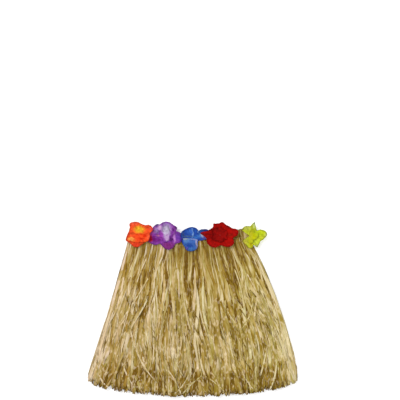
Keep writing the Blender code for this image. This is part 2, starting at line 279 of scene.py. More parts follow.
# Where the pile is paler or more ochre: one row for each patch, with its middle, its half width and
# half height in millimetres, and how far it moves the tone towards ochre. The thin tall one at x -12
# is painted shade in a gap between pleats.
Patch = namedtuple("Patch", "x y half_width half_height tone")
PATCHES = [Patch(*row) for row in (
    (108, 65, 14, 30, 0.3), (122, 115, 8, 12, 0.2), (-115, -2, 10, 22, 0.28), (14, 60, 10, 14, 0.2),
    (91, 0, 12, 16, 0.22), (100, -62, 12, 20, 0.25), (132, -43, 6, 10, 0.35), (141, -70, 10, 14, 0.2),
    (172, -81, 8, 18, 0.3), (29, -163, 24, 12, 0.12), (206, -26, 10, 16, 0.15),
    (160, 7, 10, 12, 0.15), (-41, -43, 8, 14, 0.2), (-218, -74, 8, 16, 0.2), (-12, 92, 3, 46, 0.35),
    (-156, 43, 10, 18, -0.25), (-153, -84, 10, 26, -0.3), (-105, -65, 10, 18, -0.2),
    (-177, -46, 7, 16, -0.25), (156, -14, 10, 32, -0.22), (-17, 74, 10, 22, -0.2),
    (84, -79, 14, 28, -0.2), (218, -91, 14, 28, -0.2), (34, -137, 14, 16, -0.2),
    (-53, -103, 14, 14, -0.18), (-67, 50, 14, 16, -0.15), (-146, 134, 12, 22, -0.2),
    (62, 57, 10, 30, -0.2), (125, -95, 55, 70, -0.12), (-10, 30, 60, 50, 0.06),
    (80, 127, 22, 18, 0.12), (-120, 100, 40, 50, 0.05), (170, 20, 30, 40, -0.12),
    (-91, -139, 40, 50, 0.14), (-24, 18, 30, 40, 0.08), (235, -140, 22, 45, -0.28),
    (158, 113, 12, 30, -0.2), (-182, 22, 10, 16, -0.15), (-164, 125, 14, 40, 0.26),
)]
PATCH_EDGE = (0.5, 1.3)

# Where the ribbons' ends drift sideways: one row for each stretch of the hem, with its middle side,
# half its span, the share of the way down where it starts, and how far it moves the ends.
Drift = namedtuple("Drift", "side span start shift")
DRIFTS = (
    Drift(-0.46, 0.34, 0.50, 0.027),
    Drift(-0.06, 0.14, 0.76, -0.011),
    Drift(0.14, 0.16, 0.76, 0.013),
    Drift(0.46, 0.18, 0.62, 0.010),
    Drift(0.70, 0.14, 0.66, -0.012),
)
DRIFT_EDGE = (0.1, 1.0)
DRIFT_END = 1.05

# Where the ribbons' ends part and show the floor: the side, how far up the parting starts and how
# wide it opens.
Parting = namedtuple("Parting", "side start opening")
PARTINGS = (
    Parting(-0.78, 0.91, 0.0085),
    Parting(-0.31, 0.95, 0.0016),
    Parting(0.27, 0.95, 0.0014),
    Parting(0.63, 0.94, 0.0020),
)
PARTING_SPAN = 0.035
PARTING_SHARPNESS = 30

# Ribbons that lie across the others: points from root to tip and mean width, in
# millimetres, and tone. Each clears what lies within its reach, and its first stations are tucked
# in between the others.
Stray = namedtuple("Stray", "points width tone")
STRAYS = [Stray(*row) for row in (
    (((26, -156), (4, -174), (-22, -201)), 3, 0.2),
    (((24, -163), (6, -173), (-14, -180)), 2.4, 0.28),
    (((29, -158), (51, -172), (77, -196)), 2.6, 0.3),
    (((43, -148), (59, -170), (67, -199)), 2.8, 0.24),
    (((177, -98), (171, -129), (163, -158)), 3.4, 0.02),
    (((176, -96), (185, -124), (196, -154)), 3.8, 0),
    (((201, -110), (199, -152), (186, -191)), 3.8, -0.02),
    (((144, 40), (139, -10), (118, -48)), 3.2, 0.18),
    (((-66, 133), (-87, 84), (-93, 30)), 3, 0.14),
    (((-103, 132), (-127, 79), (-141, 20)), 3, 0.16),
    (((-92, 98), (-136, 22), (-182, -46)), 3.4, 0.16),
    (((-222, -155), (-213, -173), (-200, -186)), 2.8, 0.16),
    (((-140, -60), (-121, -122), (-84, -175)), 3.4, 0.16),
    (((-150, -30), (-132, -100), (-108, -150)), 3, 0.2),
    (((17, 15), (26, -31), (38, -65)), 2.8, 0.05),
    (((72, 20), (88, -10), (106, -36)), 2.6, 0.14),
    (((-46, -100), (-36, -130), (-22, -158)), 2.8, 0.06),
    (((-148, -5), (-173, -42), (-194, -78)), 2.8, 0.1),
    (((-99, 0), (-91, -70), (-94, -130)), 3, 0),
    (((160, 45), (152, 10), (150, -30)), 3, 0),
    (((-62, -140), (-40, -170), (-26, -203)), 2.8, 0.08),
    (((-6, -150), (-18, -175), (-40, -200)), 2.8, 0.18),
    (((118, -140), (128, -165), (146, -190)), 2.8, 0.1),
    (((-170, -120), (-156, -155), (-137, -188)), 3, 0.06),
    (((100, 100), (116, 50), (124, 0)), 2.8, 0.08),
    (((128, 90), (150, 50), (166, 10)), 2.6, 0.14),
)]
STRAY_STATIONS = 16
STRAY_CLEARANCE = 0.0008
STRAY_REACH = 0.005
STRAY_TUCKS = (0.0030, 0.0012)
STRAY_SMOOTHING = 5
STRAY_TWIST_KNOTS = 4
STRAY_WIDTH_CHANGE = 0.12
STRAY_WIDTH_KNOTS = 5


def pile_ranks(plan, depth):
    """How many ribbons lie under each station of each ribbon, from their places and depths."""
    n, m = depth.shape
    step = np.arange((m - 1) * STEPS_A_STATION + 1) / STEPS_A_STATION
    low = np.minimum(step.astype(int), m - 2)
    part = step - low
    places = plan[:, low] * (1 - part)[None, :, None] + plan[:, low + 1] * part[None, :, None]
    depths = depth[:, low] * (1 - part) + depth[:, low + 1] * part
    cells = np.round(places / CELL).astype(int)
    key = (cells[..., 0] * CELL_ROW + cells[..., 1]).ravel()
    order = np.lexsort((depths.ravel(), key))
    ordered = key[order]
    starts = np.flatnonzero(np.concatenate([[True], ordered[1:] != ordered[:-1]]))
    counts = np.diff(np.concatenate([starts, [len(ordered)]]))
    ranks = np.empty(len(key))
    crowd = np.repeat(counts, counts)
    rank = np.arange(len(key)) - np.repeat(starts, counts)
    ranks[order] = rank * (1 - EVENNESS) + (rank + 0.5) / crowd * EVEN_PILE * EVENNESS
    ranks = np.pad(ranks.reshape(n, -1), ((0, 0), (STEPS_A_STATION, STEPS_A_STATION)), mode="edge")
    width = 2 * STEPS_A_STATION + 1
    sums = np.cumsum(np.pad(ranks, ((0, 0), (1, 0))), axis=1)
    means = (sums[:, width:] - sums[:, :-width]) / width
    return means[:, ::STEPS_A_STATION]


def sum_stretches(stretches, share):
    """What the stretches add to the tone at each share of the way down."""
    total = 0
    for stretch in stretches:
        total = total + stretch.tone * ease(share, *stretch.comes) * (1 - ease(share, *stretch.goes))
    return total


def place_tone(plan, side, share):
    """How far each place moves the tone: darker at the waist, with painted shade under the flowers, and
    at the hem, and paler at the sides.
    """
    pale = sum_stretches(PALE_STRETCHES, share) + RIGHT_PALE * (side > 0)
    total = sum_stretches(OCHRE_AND_SHADE_STRETCHES, share) - pale * ease(np.abs(side), *PALE_SIDES)
    x, y = plan[..., 0] / MM, plan[..., 1] / MM
    for patch in PATCHES:
        away = np.hypot((x - patch.x) / patch.half_width, (y - patch.y) / patch.half_height)
        total = total + patch.tone * (1 - ease(away, *PATCH_EDGE))
    return total


def sideways(side, share):
    """How far the drifts and partings move each place sideways."""
    total = 0
    for drift in DRIFTS:
        reach = np.abs(side - drift.side) / drift.span
        pushed = drift.shift * (1 - ease(reach, *DRIFT_EDGE))
        total = total + pushed * ease(share, drift.start, DRIFT_END)
    for parting in PARTINGS:
        away = (side - parting.side) / PARTING_SPAN
        push = np.tanh(away * PARTING_SHARPNESS) * np.exp(-away**2)
        total = total + parting.opening * push * ease(share, parting.start, 1.0)
    return total


def lay_curtain(curtain):
    """The centre line of each ribbon, with its twist, width and tone at each station."""
    draw = np.random.default_rng(curtain.seed)
    n, m, clumps = curtain.ribbons, curtain.stations, curtain.clumps
    side = draw.permutation(middles(n) * 2 - 1)
    side = side + draw.uniform(-1, 1, n) / n * 2
    clump = np.clip(np.round((side + 1) / 2 * clumps - 0.5), 0, clumps - 1).astype(int)
    centres = middles(clumps) * 2 - 1 + draw.normal(0, CLUMP_SPREAD, clumps) / clumps * 2
    sways = smooth_noise(draw, clumps, m, SWAY_KNOTS) * CLUMP_SWAY
    leans = draw.normal(0, CLUMP_LEAN, clumps) * curtain.spread
    length = curtain.length + (1 - curtain.length) * draw.random(n) ** 2
    share = np.linspace(0, 1, m)[None, :] * length[:, None]
    loose = ease(share, *LOOSE_SPAN)

    half = (WAIST_WIDTH + (HEM_WIDTH - WAIST_WIDTH) * share) / 2
    pull = CLUMP_PULL * ease(share, *PULL_SPAN) * (1 - PULL_LOST * ease(share, *PULL_LOST_SPAN))
    line = side[:, None] + (centres[clump] - side)[:, None] * pull
    stray = draw.normal(0, 1, n)[:, None] * curtain.spread * share**TIP_STRAY_POWER
    stray += (sways[clump] + leans[clump][:, None] * share) * ease(share, *SWAY_SPAN)
    stray += smooth_noise(draw, n, m, BEND_KNOTS) * BEND * ease(share, *BEND_SPAN)
    stray += smooth_noise(draw, n, m, CRINKLE_KNOTS) * CRINKLE * ease(share, *CRINKLE_SPAN)
    line = line + stray / half
    line = line + sideways(line, share) / half
    over = np.abs(line) - curtain.edge
    held = np.sign(line) * (curtain.edge + np.tanh(over * EDGE_FIRMNESS) * EDGE_ROOM)
    line = np.where(over > 0, held, line)
    plan = on_fan(line, share)

    twist = smooth_noise(draw, n, m, TWIST_KNOTS) * TWIST + smooth_noise(draw, n, m, CURL_KNOTS) * CURL
    turned = draw.random(n) < TURNED_SHARE
    turn_at = np.where(turned, draw.uniform(*TURN_PLACES, n), NEVER_TURNED)[:, None]
    freed = ROOT_TWIST_SHARE * ease(share, *ROOT_TWIST_SPAN)
    twist = twist * (freed + (1 - ROOT_TWIST_SHARE) * ease(share, *FULL_TWIST_SPAN))
    twist = twist + np.pi * ease(share, turn_at - TURN_REACH, turn_at + TURN_REACH)

    width = curtain.width * np.exp(draw.normal(0, WIDTH_SPREAD, n))[:, None]
    width = np.clip(width * (1 + WIDTH_CHANGE * smooth_noise(draw, n, m, WIDTH_KNOTS)), *WIDTH_LIMITS)
    width[:, -1] *= draw.uniform(*TIP_SHARES, n)
    width *= ROOT_WIDTH_SHARE + (1 - ROOT_WIDTH_SHARE) * loose

    depth = draw.normal(0, DEPTH_SPREAD, n) + draw.normal(0, CLUMP_DEPTH_SPREAD, clumps)[clump]
    depth = depth[:, None] + smooth_noise(draw, n, m, DEPTH_KNOTS) * ease(share, *DEPTH_SPAN)
    ranks = pile_ranks(plan, depth)
    root_z = curtain.root_low + (curtain.root_high - curtain.root_low) * draw.permutation(middles(n))
    height = root_z[:, None] + (curtain.low_z - curtain.root_low) * loose
    height = height * (1 - loose) + (curtain.low_z + ranks * curtain.growth) * loose
    height = np.maximum(height + np.abs(np.sin(twist)) * width * TWIST_RISE, RIBBON_THICK)

    clump_tone = draw.normal(0, CLUMP_TONE, clumps)[clump][:, None]
    clump_tone = clump_tone * (1 - CLUMP_TONE_LOST * ease(share, *CLUMP_TONE_LOST_SPAN))
    ribbon_tone = draw.normal(0, RIBBON_TONE, n)[:, None]
    ribbon_tone = ribbon_tone * (1 - RIBBON_TONE_LOST * ease(share, *RIBBON_TONE_LOST_SPAN))
    tone = curtain.tone + clump_tone + ribbon_tone + place_tone(plan, line, share)
    # Painted shade: a ribbon low in the pile is more ochre and one on top is paler.
    tone = tone + DEEP_SHADE_TONE * (MIDDLE_DEPTH - ranks / EVEN_PILE) * loose

    centre = np.concatenate([plan, height[..., None]], -1)
    centre = np.concatenate([lay_roots(side, root_z, curtain, draw), centre], 1)
    twist = np.concatenate([np.zeros((n, ROOT_STATIONS)), twist], 1)
    width = np.concatenate([np.repeat(width[:, :1], ROOT_STATIONS, 1), width], 1)
    tone = np.concatenate([np.repeat(tone[:, :1], ROOT_STATIONS, 1), tone], 1)
    return centre, twist, width, tone, draw


def lay_strays(pile, draw):
    """The ribbons that lie across the others, each a little above the highest points near it."""
    n, m = len(STRAYS), STRAY_STATIONS
    plan = np.empty((n, m, 2))
    height = np.empty((n, m))
    for k, stray in enumerate(STRAYS):
        points = np.array(stray.points) * MM
        steps = np.linalg.norm(np.diff(points, axis=0), axis=1)
        knots = np.concatenate([[0.0], np.cumsum(steps)]) / steps.sum()
        for axis in range(2):
            curve = np.polynomial.Polynomial.fit(knots, points[:, axis], len(points) - 1)
            plan[k, :, axis] = curve(np.linspace(0, 1, m))
        away = np.linalg.norm(plan[k][:, None, :] - pile[None, :, :2], axis=-1)
        height[k] = np.where(away < STRAY_REACH, pile[None, :, 2], 0.0).max(axis=1)
    beyond = STRAY_SMOOTHING // 2
    padded = np.pad(height, ((0, 0), (beyond, beyond)), mode="edge")
    height = sum(padded[:, k:k + m] for k in range(STRAY_SMOOTHING)) / STRAY_SMOOTHING + STRAY_CLEARANCE
    height[:, :len(STRAY_TUCKS)] -= np.array(STRAY_TUCKS)
    centre = np.concatenate([plan, height[..., None]], -1)
    twist = smooth_noise(draw, n, m, STRAY_TWIST_KNOTS) * TWIST
    change = 1 + STRAY_WIDTH_CHANGE * smooth_noise(draw, n, m, STRAY_WIDTH_KNOTS)
    width = np.array([stray.width * MM for stray in STRAYS])[:, None] * change
    tone = np.array([stray.tone for stray in STRAYS])[:, None] + np.zeros((n, m))
    return centre, twist, width, tone


def lay_roots(side, root_z, curtain, draw):
    """The stretch of each ribbon that is sewn to the elastic, from its upper end down."""
    is_outer = curtain.name.endswith("outer")
    top = BAND_HEIGHT if is_outer else INNER_ROOT_RISE
    fold = np.array(OUTER_ROOT_FOLD if is_outer else INNER_ROOT_FOLD)
    rises = top * np.array(ROOT_RISES)
    rises[0] += ROOT_FOLD_RISE
    wander = draw.normal(0, ROOT_WANDER, (len(side), ROOT_STATIONS)) / (WAIST_WIDTH / 2)
    place = np.clip(side[:, None] + wander, -ROOT_EDGE, ROOT_EDGE)
    plan = on_waist(place, rises[None, :] * np.ones_like(place))
    height = BAND_MIDDLE_Z + (root_z[:, None] - BAND_MIDDLE_Z) * fold[None, :]
    if curtain.name.startswith("front"):
        height = height + FRONT_ROOT_LIFT
    return np.concatenate([plan, height[..., None]], -1)


def unit(rows):
    """The same vectors, each of length 1."""
    return rows / np.maximum(np.linalg.norm(rows, axis=-1, keepdims=True), TINY)


def ribbon_mesh(name, centre, twist, width, tone, draw):
    """Closed ribbons with a soft crease along their middle, as one mesh of rings of four corners."""
    n, m = centre.shape[:2]
    down = unit(np.gradient(centre, axis=1))
    across = unit(np.cross(down, np.array([0.0, 0.0, 1.0])))
    top = np.cross(across, down)
    c, s = np.cos(twist)[..., None], np.sin(twist)[..., None]
    flat = across * c + top * s
    face = top * c - across * s
    crease = (draw.normal(0, 1, n)[:, None] * CREASE * width * 0.5)[..., None]
    half = (width / 2)[..., None]
    skin = RIBBON_THICK / 2
    corners = np.stack([
        centre - flat * half,
        centre + face * (crease + skin),
        centre + flat * half,
        centre + face * (crease - skin),
    ], 2)
    lowest = corners[..., 2].min(axis=(1, 2))
    corners[..., 2] += np.maximum(0.0, FLOOR_GAP - lowest)[:, None, None]
    vertices = corners.reshape(-1, 3)
    start = np.arange(n)[:, None, None] * m * 4
    ring = np.arange(m - 1)[None, :, None] * 4
    k = np.arange(4)[None, None, :]
    a = start + ring + k
    b = start + ring + (k + 1) % 4
    walls = np.stack([a, b, b + 4, a + 4], -1).reshape(-1, 4)
    first = start[:, 0, 0][:, None] + np.array([3, 2, 1, 0])
    last = start[:, 0, 0][:, None] + (m - 1) * 4 + np.array([0, 1, 2, 3])
    quads = np.concatenate([walls, first, last])
    mesh = bpy.data.meshes.new(name)
    mesh.vertices.add(len(vertices))
    mesh.vertices.foreach_set("co", vertices.ravel())
    mesh.loops.add(quads.size)
    mesh.loops.foreach_set("vertex_index", quads.ravel().astype(np.int32))
    mesh.polygons.add(len(quads))
    mesh.polygons.foreach_set("loop_start", (np.arange(len(quads)) * 4).astype(np.int32))
    mesh.update(calc_edges=True)
    per_point = {
        "tone": np.repeat(tone.ravel(), 4),
        "strand": np.repeat(draw.random(n), m * 4),
        "along": np.tile(np.repeat(np.linspace(0, 1, m), 4), n),
        "across": np.tile(np.array([-1.0, 0.0, 1.0, 0.0]), n * m),
    }
    for label, values in per_point.items():
        layer = mesh.attributes.new(label, "FLOAT", "POINT")
        layer.data.foreach_set("value", values.astype(np.float32))
    lay_out_map(mesh, n, m)
    mesh.shade_smooth()
    sharpen_edges(mesh)
    return mesh


def sharpen_edges(mesh):
    """Keeps the shading of each ribbon's two faces apart along its edges, corners 0 and 2 of a ring."""
    ends = np.empty(len(mesh.edges) * 2, np.int32)
    mesh.edges.foreach_get("vertices", ends)
    first, second = ends.reshape(-1, 2).T
    runs_along = np.abs(first - second) == 4
    mesh.edges.foreach_set("use_edge_sharp", runs_along & (first % 2 == 0))


# The ribbons' texture map: columns of strips, a strip's share of its cell, where it starts, and the
# width of the two end caps and where the second one lies.
MAP_COLUMNS = 4
MAP_LENGTH = 0.97
MAP_HEIGHT = 0.86
MAP_MARGIN = 0.01
CAP_WIDTH = 0.006
LAST_CAP = 1.02


def lay_out_map(mesh, n, m):
    """Gives every ribbon a strip of its own on the texture map, in columns."""
    rows = math.ceil(n / MAP_COLUMNS)
    number = np.arange(n)
    left = (number % MAP_COLUMNS) / MAP_COLUMNS
    low = (number // MAP_COLUMNS) / rows
    length, height = MAP_LENGTH / MAP_COLUMNS, MAP_HEIGHT / rows
    ring = np.arange(m - 1)
    u0 = left[:, None, None] + (MAP_MARGIN + ring[None, :, None] / (m - 1)) * length
    u1 = u0 + length / (m - 1)
    k = np.arange(4)[None, None, :]
    v0 = low[:, None, None] + k / 4 * height
    v1 = v0 + height / 4
    u0, u1, v0, v1 = np.broadcast_arrays(u0, u1, v0, v1)
    walls = [np.stack(corner, -1) for corner in ((u0, v0), (u0, v1), (u1, v1), (u1, v0))]
    parts = [np.stack(walls, -2)]
    cap = CAP_WIDTH / MAP_COLUMNS
    for place in (left, left + LAST_CAP * length):
        corners = [(0, 0), (0, 1), (cap, 1), (cap, 0)]
        parts.append(np.stack([np.stack([place + x, low + y * height], -1) for x, y in corners], 1))
    layer = mesh.uv_layers.new(name="OFBake")
    uv = np.concatenate([part.reshape(-1, 2) for part in parts])
    layer.data.foreach_set("uv", uv.astype(np.float32).ravel())


class Nodes:
    """The nodes of a new material with a Principled shader, and short ways to add to them."""

    def __init__(self, name):
        self.material = bpy.data.materials.new(name)
        self.material.use_nodes = True
        self.tree = self.material.node_tree
        self.shader = self.tree.nodes["Principled BSDF"]

    def put(self, value, socket):
        """Joins another node's output to a socket, or gives the socket a number or colour."""
        if isinstance(value, bpy.types.NodeSocket):
            self.tree.links.new(value, socket)
        else:
            socket.default_value = value

    def add(self, kind, inputs=None, **settings):
        """A node of this kind with its settings, and with numbers or outputs put in its inputs."""
        node = self.tree.nodes.new("ShaderNode" + kind)
        for key, value in settings.items():
            setattr(node, key, value)
        for key, value in (inputs or {}).items():
            self.put(value, node.inputs[key])
        return node

    def number(self, name):
        """A number that the mesh carries at each point."""
        return self.add("Attribute", attribute_name=name).outputs["Fac"]

    def object_place(self):
        """The place on the object, in metres."""
        return self.add("TexCoord").outputs["Object"]

    def maths(self, operation, *values):
        """One step of arithmetic."""
        return self.add("Math", dict(enumerate(values)), operation=operation).outputs[0]

    def vectors(self, operation, *values):
        """One step of arithmetic on vectors."""
        return self.add("VectorMath", dict(enumerate(values)), operation=operation).outputs[0]

    def split(self, vector):
        """A vector's three parts."""
        return self.add("SeparateXYZ", {0: vector}).outputs

    def noise(self, place, scale, detail, dimensions="2D", **inputs):
        """A noise texture."""
        inputs.update(Vector=place, Scale=scale, Detail=detail)
        return self.add("TexNoise", inputs, noise_dimensions=dimensions)

    def wave(self, place, direction, scale, distortion):
        """Bands that follow one another in this direction."""
        inputs = {"Vector": place, "Scale": scale, "Distortion": distortion}
        return self.add("TexWave", inputs, bands_direction=direction).outputs["Fac"]

    def rescale(self, value, start, end, new_start, new_end, interpolation="LINEAR"):
        """Moves numbers from one range to another, and holds them inside it."""
        keys = ("Value", "From Min", "From Max", "To Min", "To Max")
        inputs = dict(zip(keys, (value, start, end, new_start, new_end)))
        return self.add("MapRange", inputs, interpolation_type=interpolation).outputs[0]

    def mix(self, factor, first, second, blend="MIX"):
        """Two colours mixed in this share, or multiplied."""
        inputs = {"Factor": factor, "A": first, "B": second}
        return self.add("Mix", inputs, data_type="RGBA", blend_type=blend).outputs["Result"]

    def ramp(self, factor, stops, interpolation="LINEAR"):
        """A colour ramp with these places and linear colours."""
        node = self.add("ValToRGB", {"Fac": factor})
        node.color_ramp.interpolation = interpolation
        elements = node.color_ramp.elements
        while len(elements) < len(stops):
            elements.new(0.5)
        for element, (place, colour) in zip(elements, stops):
            element.position = place
            element.color = (*colour, 1.0)
        return node.outputs["Color"]

    def bump(self, height, strength, distance):
        """Gives the surface a fine relief."""
        inputs = {"Height": height, "Strength": strength, "Distance": distance}
        self.put(self.add("Bump", inputs).outputs[0], self.shader.inputs["Normal"])


def linear(red, green, blue):
    """A linear colour from the eight-bit numbers of a screen colour."""
    def one(value):
        value = value / 255
        return value / 12.92 if value <= 0.04045 else ((value + 0.055) / 1.055) ** 2.4
    return one(red), one(green), one(blue)


def screen_stops(*stops):
    """The stops of a ramp from screen colours."""
    return [(place, linear(*colour)) for place, colour in stops]


# The raffia's noises, all of them in each ribbon's own place: waves across and along it and finer
# detail. The patches are noise on the whole pile.
Grain = namedtuple("Grain", "across along detail")
STREAKS = Grain(across=0.22, along=10.0, detail=2.0)
FIBRES = Grain(across=2.4, along=9.0, detail=3.0)
GLINTS = Grain(across=0.5, along=38.0, detail=0.0)
STRAND_SHIFT = 71.0
PATCH_SCALE = 11.0
PATCH_DETAIL = 2.0
STREAK_TONE = 1.2
PATCH_TONE = 0.38
FIBRE_TONE = 0.18

# The straw's screen colours by tone, from pale to ochre, and its glints, painted highlights: where
# they start, their strength, and the shares of it at two places along a ribbon.
STRAW_COLOURS = screen_stops(
    (0.00, (191, 175, 137)), (0.22, (172, 152, 99)), (0.46, (151, 130, 65)),
    (0.70, (133, 107, 36)), (0.98, (98, 71, 11)),
)
GLINT_COLOUR = (*linear(232, 212, 182), 1.0)
GLINT_EDGE = (0.60, 0.72)
GLINT_STRENGTH = 0.30
GLINT_SHARES = ((0.25, (0.25,) * 3), (0.60, (1.0,) * 3))

# What the straw's colour is multiplied by: from ribbon to ribbon, from left to right and from the
# hem to the waist. The last two go by the place in metres times TINT_SCALE, its middle at a half.
# From the hem to the waist it is painted light, paler and greyer at the hem's edge against its shade,
# and painted shade, darker and greyer, at the waistband under the flowers.
RIBBON_TINTS = (
    (0.00, (1.00, 1.00, 1.00)), (0.50, (1.00, 1.00, 1.00)), (0.54, (0.95, 1.00, 0.94)),
    (0.68, (0.96, 1.01, 0.97)), (0.70, (1.03, 0.97, 0.92)), (0.80, (1.02, 0.97, 0.97)),
    (0.84, (1.02, 0.98, 1.08)), (1.00, (1.03, 0.98, 1.16)),
)
TINTS_ACROSS = ((0.1, (1.03, 1.00, 1.09)), (0.5, (0.99, 0.99, 1.0)), (0.9, (1.01, 1.04, 0.95)))
TINTS_AND_LIGHT_UP = (
    (0.07, (1.06, 1.10, 1.24)), (0.115, (1.0, 1.02, 1.14)), (0.16, (1.0, 1.0, 1.04)),
    (0.20, (1.0, 1.0, 1.0)), (0.70, (1.0, 1.0, 1.0)), (0.735, (0.97, 0.97, 1.0)),
    (0.775, (0.95, 0.96, 1.06)), (0.80, (0.97, 0.98, 1.15)), (0.85, (1.0, 1.01, 1.25)),
    (0.88, (0.84, 0.84, 0.84)),
)
TINT_SCALE = 2.2
STRAW_ROUGHNESS = (0.34, 0.56)


def straw_material():
    """Glossy raffia, streaked along each ribbon from cream to ochre, with painted glints of highlight."""
    nodes = Nodes("raffia")
    value, strand, along, across = (nodes.number(name) for name in ("tone", "strand", "along", "across"))
    shift = nodes.maths("MULTIPLY", strand, STRAND_SHIFT)

    def ribbon_noise(grain):
        x = nodes.maths("MULTIPLY_ADD", across, grain.across, shift)
        y = nodes.maths("MULTIPLY", along, grain.along)
        place = nodes.add("CombineXYZ", {0: x, 1: y}).outputs[0]
        return nodes.noise(place, 1.0, grain.detail).outputs[0]

    place = nodes.object_place()
    fibres = ribbon_noise(FIBRES)
    patches = nodes.noise(place, PATCH_SCALE, PATCH_DETAIL, "3D").outputs[0]
    streaks = ribbon_noise(STREAKS)
    for noise, tone in ((streaks, STREAK_TONE), (patches, PATCH_TONE), (fibres, FIBRE_TONE)):
        value = nodes.maths("MULTIPLY_ADD", nodes.maths("SUBTRACT", noise, 0.5), tone, value)
    parts = nodes.split(place)
    tints = [nodes.ramp(strand, RIBBON_TINTS, "CONSTANT")]
    for part, stops in ((parts[0], TINTS_ACROSS), (parts[1], TINTS_AND_LIGHT_UP)):
        tints.append(nodes.ramp(nodes.maths("MULTIPLY_ADD", part, TINT_SCALE, 0.5), stops))
    colour = nodes.ramp(value, STRAW_COLOURS)
    for tint in tints:
        colour = nodes.mix(1.0, colour, tint, "MULTIPLY")
    # Painted highlights: pale glints mixed into the colour, more of them further down each ribbon.
    glint = nodes.rescale(ribbon_noise(GLINTS), *GLINT_EDGE, 0.0, GLINT_STRENGTH, "SMOOTHSTEP")
    glint = nodes.maths("MULTIPLY", glint, nodes.ramp(along, GLINT_SHARES))
    nodes.put(nodes.mix(glint, colour, GLINT_COLOUR), nodes.shader.inputs["Base Color"])
    nodes.put(nodes.rescale(fibres, 0.0, 1.0, *STRAW_ROUGHNESS), nodes.shader.inputs["Roughness"])
    nodes.shader.inputs["Specular IOR Level"].default_value = 0.05
    nodes.bump(fibres, strength=0.35, distance=0.0004)
    return nodes.material


def add_piece(name, mesh, material):
    """Puts a mesh in the scene as a piece that rides with the skirt."""
    mesh.materials.append(material)
    piece = bpy.data.objects.new(name, mesh)
    bpy.context.scene.collection.objects.link(piece)
    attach(piece, BODY)
    return piece


def make_ribbons():
    """The four curtains, each split at the middle into two pieces, and the ribbons across them."""
    straw = straw_material()

    def add_ribbons(name, replaced, *ribbons):
        piece = add_piece(name, ribbon_mesh(name, *ribbons), straw)
        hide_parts(replaced)

    for curtain in CURTAINS:
        centre, twist, width, tone, draw = lay_curtain(curtain)
        on_left = centre[:, 0, 0] < WAIST_MIDDLE_X
        for half, shown in (("left", on_left), ("right", ~on_left)):
            name = f"{curtain.name}_{half}"
            ribbons = (part[shown] for part in (centre, twist, width, tone))
            add_ribbons(name, curtain.replaces, *ribbons, draw)
    strays = lay_strays(centre.reshape(-1, 3), draw)
    add_ribbons("front_ribbons_stray", CURTAINS[-1].replaces, *strays, draw)


# The elastic: a loop pressed flat, with a wall on each side of its hollow and a fold at each end.
ELASTIC_WALL = 0.0014
ELASTIC_HOLLOW = 0.0010
ELASTIC_MARGIN = 0.0012
ELASTIC_SPANS = 150
ELASTIC_ROWS = 10
ELASTIC_RIPPLE = 0.00012
ELASTIC_RIPPLES = 74
ELASTIC_COLOURS = screen_stops(
    (0.15, (136, 112, 72)), (0.55, (186, 164, 122)), (0.90, (208, 190, 152)),
)
RIB_SCALE = 270.0
ROW_SCALE = 150.0
SOIL_SCALE = 60.0
RIB_SHARE = 0.6
THREAD_SCALE = 900.0
THREAD_SHADE = 0.6

# The rows of machine stitches that hold the raffia to the elastic, as heights above its lower edge.
# A stitch is arched, and thinner at its ends.
STITCH_RISES = (0.0042, 0.0125, 0.0260)
STITCH_STEP = 0.0042
STITCH_SHARE = 0.74
STITCH_REACH = 0.97
STITCH_THICK = 0.00062
STITCH_SIDES = 6
STITCH_RINGS = 5
STITCH_SINK = 0.9
STITCH_END_SHARE = 0.45
STITCH_FRONT_Z = 0.0096
STITCH_BACK_Z = 0.0006
THREAD_COLOUR = (206, 184, 136)


def elastic_material():
    """Ribbed woven elastic of a straw colour."""
    nodes = Nodes("elastic")
    place = nodes.object_place()
    ribs = nodes.wave(place, "X", RIB_SCALE, 0.3)
    rows = nodes.wave(place, "Y", ROW_SCALE, 0.4)
    soil = nodes.noise(place, SOIL_SCALE, 3.0, "3D").outputs[0]
    weave = nodes.maths("MULTIPLY_ADD", ribs, RIB_SHARE, nodes.maths("MULTIPLY", rows, 1 - RIB_SHARE))
    value = nodes.maths("MULTIPLY_ADD", soil, 0.5, nodes.maths("MULTIPLY", weave, 0.5))
    nodes.put(nodes.ramp(value, ELASTIC_COLOURS), nodes.shader.inputs["Base Color"])
    nodes.shader.inputs["Roughness"].default_value = 0.78
    nodes.shader.inputs["Sheen Weight"].default_value = 0.15
    nodes.bump(weave, strength=0.8, distance=0.0002)
    return nodes.material


def thread_material(name, colour):
    """Twisted thread of one dye, lighter on the crown of each twist, with painted shade in its grooves.
    """
    nodes = Nodes(name)
    twist = nodes.wave(nodes.object_place(), "DIAGONAL", THREAD_SCALE, 1.0)
    crown = linear(*colour)
    # Painted shade: the grooves are THREAD_SHADE as bright as the crown.
    groove_shade = tuple(channel * THREAD_SHADE for channel in crown)
    nodes.put(nodes.ramp(twist, ((0.2, groove_shade), (0.8, crown))), nodes.shader.inputs["Base Color"])
    nodes.shader.inputs["Roughness"].default_value = 0.6
    nodes.bump(twist, strength=0.6, distance=0.0001)
    return nodes.material


def join_rings(shape, rings):
    """Faces between each closed ring of vertices and the next."""
    for low, high in zip(rings[:-1], rings[1:]):
        for k in range(len(low)):
            after = (k + 1) % len(low)
            shape.faces.new((low[k], low[after], high[after], high[k]))


def finish_mesh(name, shape):
    """A smooth mesh of a bmesh shape."""
    mesh = bpy.data.meshes.new(name)
    shape.to_mesh(mesh)
    shape.free()
    mesh.shade_smooth()
    return mesh


